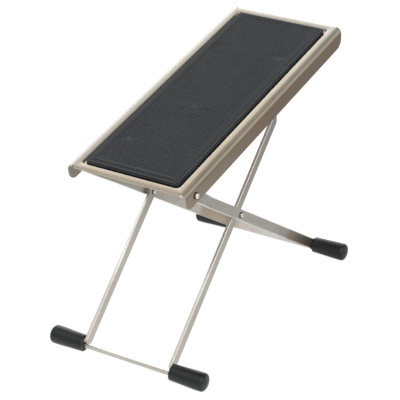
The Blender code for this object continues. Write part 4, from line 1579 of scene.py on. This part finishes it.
@dataclass
class Studio:
    """A pale floor, soft light from above and the camera."""

    azimuth: float = radians(30.36)
    elevation: float = radians(27.42)
    camera_at: tuple[float, float, float] = (0.6062, -1.0497, 0.7266)
    lens: float = 138.44
    sensor: float = 36.0
    floor_half: float = 6.0
    floor_colour: Colour = (0.80, 0.80, 0.80)
    lift: float = 0.86
    glow: float = 1.12
    ambient: float = 0.36
    lobes: tuple[Lobe, ...] = (
        Lobe((-0.45, 0.78, 0.43), 0.45, 1.0, 0.28), Lobe((-0.62, 0.71, 0.33), 0.87, 0.985, 1.35),
        Lobe((-0.45, -0.45, 0.77), 0.55, 0.98, 0.42), Lobe((0.74, 0.66, 0.13), 0.84, 1.0, 0.50),
        Lobe((0.62, -0.45, 0.64), 0.55, 0.98, 0.80))

    def build(self) -> None:
        """Make the floor, the world, the lamps and the camera."""
        self.floor()
        self.world()
        self.softbox("key", (-0.75, -0.75, 1.35), (0.0, 0.0, 0.1), 0.55, 0.5)
        self.softbox("front_right", (1.0, -0.75, 1.1), (0.0, 0.0, 0.1), 0.35, 2.4)
        self.camera()
        bpy.context.scene.view_settings.view_transform = "Standard"

    def floor(self) -> None:
        """Make the floor, white to the camera and to the metal, with the footrest's shadow on it."""
        built = bmesh.new()
        bmesh.ops.create_grid(built, x_segments=1, y_segments=1, size=self.floor_half)
        mesh = bpy.data.meshes.new("floor")
        built.to_mesh(mesh)
        built.free()
        graph = Graph("pale_floor", Placement(), specular=0.0)
        graph.shader.inputs["Base Color"].default_value = (*self.floor_colour, 1.0)
        graph.shader.inputs["Roughness"].default_value = 0.9
        camera, glossy, through = (graph.node("LightPath", {}, {}, f"Is {kind} Ray")
                                   for kind in ("Camera", "Glossy", "Transmission"))
        away = graph.node("VectorMath", {"operation": "LENGTH"}, {0: graph.local}, "Value")
        falloff = graph.ramp(graph.x * 0.45 + graph.y * 0.9, -0.25, 0.5, 1.0, 0.33)
        far = graph.ramp(away, 0.9, 3.0)
        strength = falloff * (1 - far) + far * 0.75
        white, shine = (graph.node("Emission", {}, {"Color": (1, 1, 1, 1), "Strength": level})
                        for level in (self.glow, strength))
        surface = Value(graph, graph.shader.outputs[0])
        seen = graph.node("MixShader", {}, {0: (camera + through) * self.lift, 1: surface, 2: white})
        both = graph.node("MixShader", {}, {0: glossy * 0.95, 1: seen, 2: shine})
        graph.feed(graph.material.node_tree.nodes["Material Output"].inputs["Surface"], both)
        mesh.materials.append(graph.material)
        linked("floor", mesh)

    def world(self) -> None:
        """Make the surrounding light: dim, with broad bright patches, and white to the camera."""
        world = bpy.data.worlds.new("studio")
        bpy.context.scene.world = world
        world.use_nodes = True
        tree = world.node_tree
        backdrop = tree.nodes["Background"]
        backdrop.inputs["Color"].default_value = (1, 1, 1, 1)
        place = tree.nodes.new("ShaderNodeTexCoord")
        total = None
        for lobe in self.lobes:
            toward = tree.nodes.new("ShaderNodeVectorMath")
            toward.operation = "DOT_PRODUCT"
            tree.links.new(place.outputs["Generated"], toward.inputs[0])
            toward.inputs[1].default_value = lobe.way
            patch = tree.nodes.new("ShaderNodeMapRange")
            patch.interpolation_type = "SMOOTHSTEP"
            for index, number in enumerate((lobe.edge, lobe.heart, 0.0, lobe.strength), start=1):
                patch.inputs[index].default_value = number
            tree.links.new(toward.outputs["Value"], patch.inputs[0])
            added = tree.nodes.new("ShaderNodeMath")
            tree.links.new(patch.outputs[0], added.inputs[0])
            added.inputs[1].default_value = self.ambient
            if total:
                tree.links.new(total, added.inputs[1])
            total = added.outputs[0]
        path = tree.nodes.new("ShaderNodeLightPath")
        choose = tree.nodes.new("ShaderNodeMix")
        tree.links.new(path.outputs["Is Camera Ray"], choose.inputs[0])
        tree.links.new(total, choose.inputs[2])
        choose.inputs[3].default_value = 1.0
        tree.links.new(choose.outputs[0], backdrop.inputs["Strength"])

    def softbox(self, name: str, spot: Sequence[float], aim: Sequence[float], size: float,
                power: float) -> None:
        """Add a square softbox.

        Args:
            name: Its name.
            spot: Where it hangs.
            aim: The point that it faces.
            size: Its side.
            power: Its power in watts.
        """
        lamp = bpy.data.lights.new(name, "AREA")
        lamp.shape = "SQUARE"
        lamp.size = size
        lamp.energy = power
        made = linked(name, lamp)
        made.location = spot
        made.rotation_euler = (Vector(aim) - Vector(spot)).to_track_quat("-Z", "Y").to_euler()

    def camera(self) -> None:
        """Add the camera at the photograph's place and angle."""
        data = bpy.data.cameras.new("camera")
        data.lens = self.lens
        data.sensor_width = self.sensor
        data.sensor_fit = "HORIZONTAL"
        made = linked("camera", data)
        made.location = self.camera_at
        made.rotation_euler = (QUARTER - self.elevation, 0, self.azimuth)
        bpy.context.scene.camera = made


def main() -> None:
    """Load the frame, and build every sub-assembly and the studio."""
    logging.basicConfig(level=logging.INFO, format="%(name)s: %(message)s")
    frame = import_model()
    frames = Frames.survey(frame, setback=0.0158, drop=0.0104)
    Tread(frames.plate).build()
    LegFrames(frames).build()
    Studio().build()


if __name__ == "__main__":
    main()
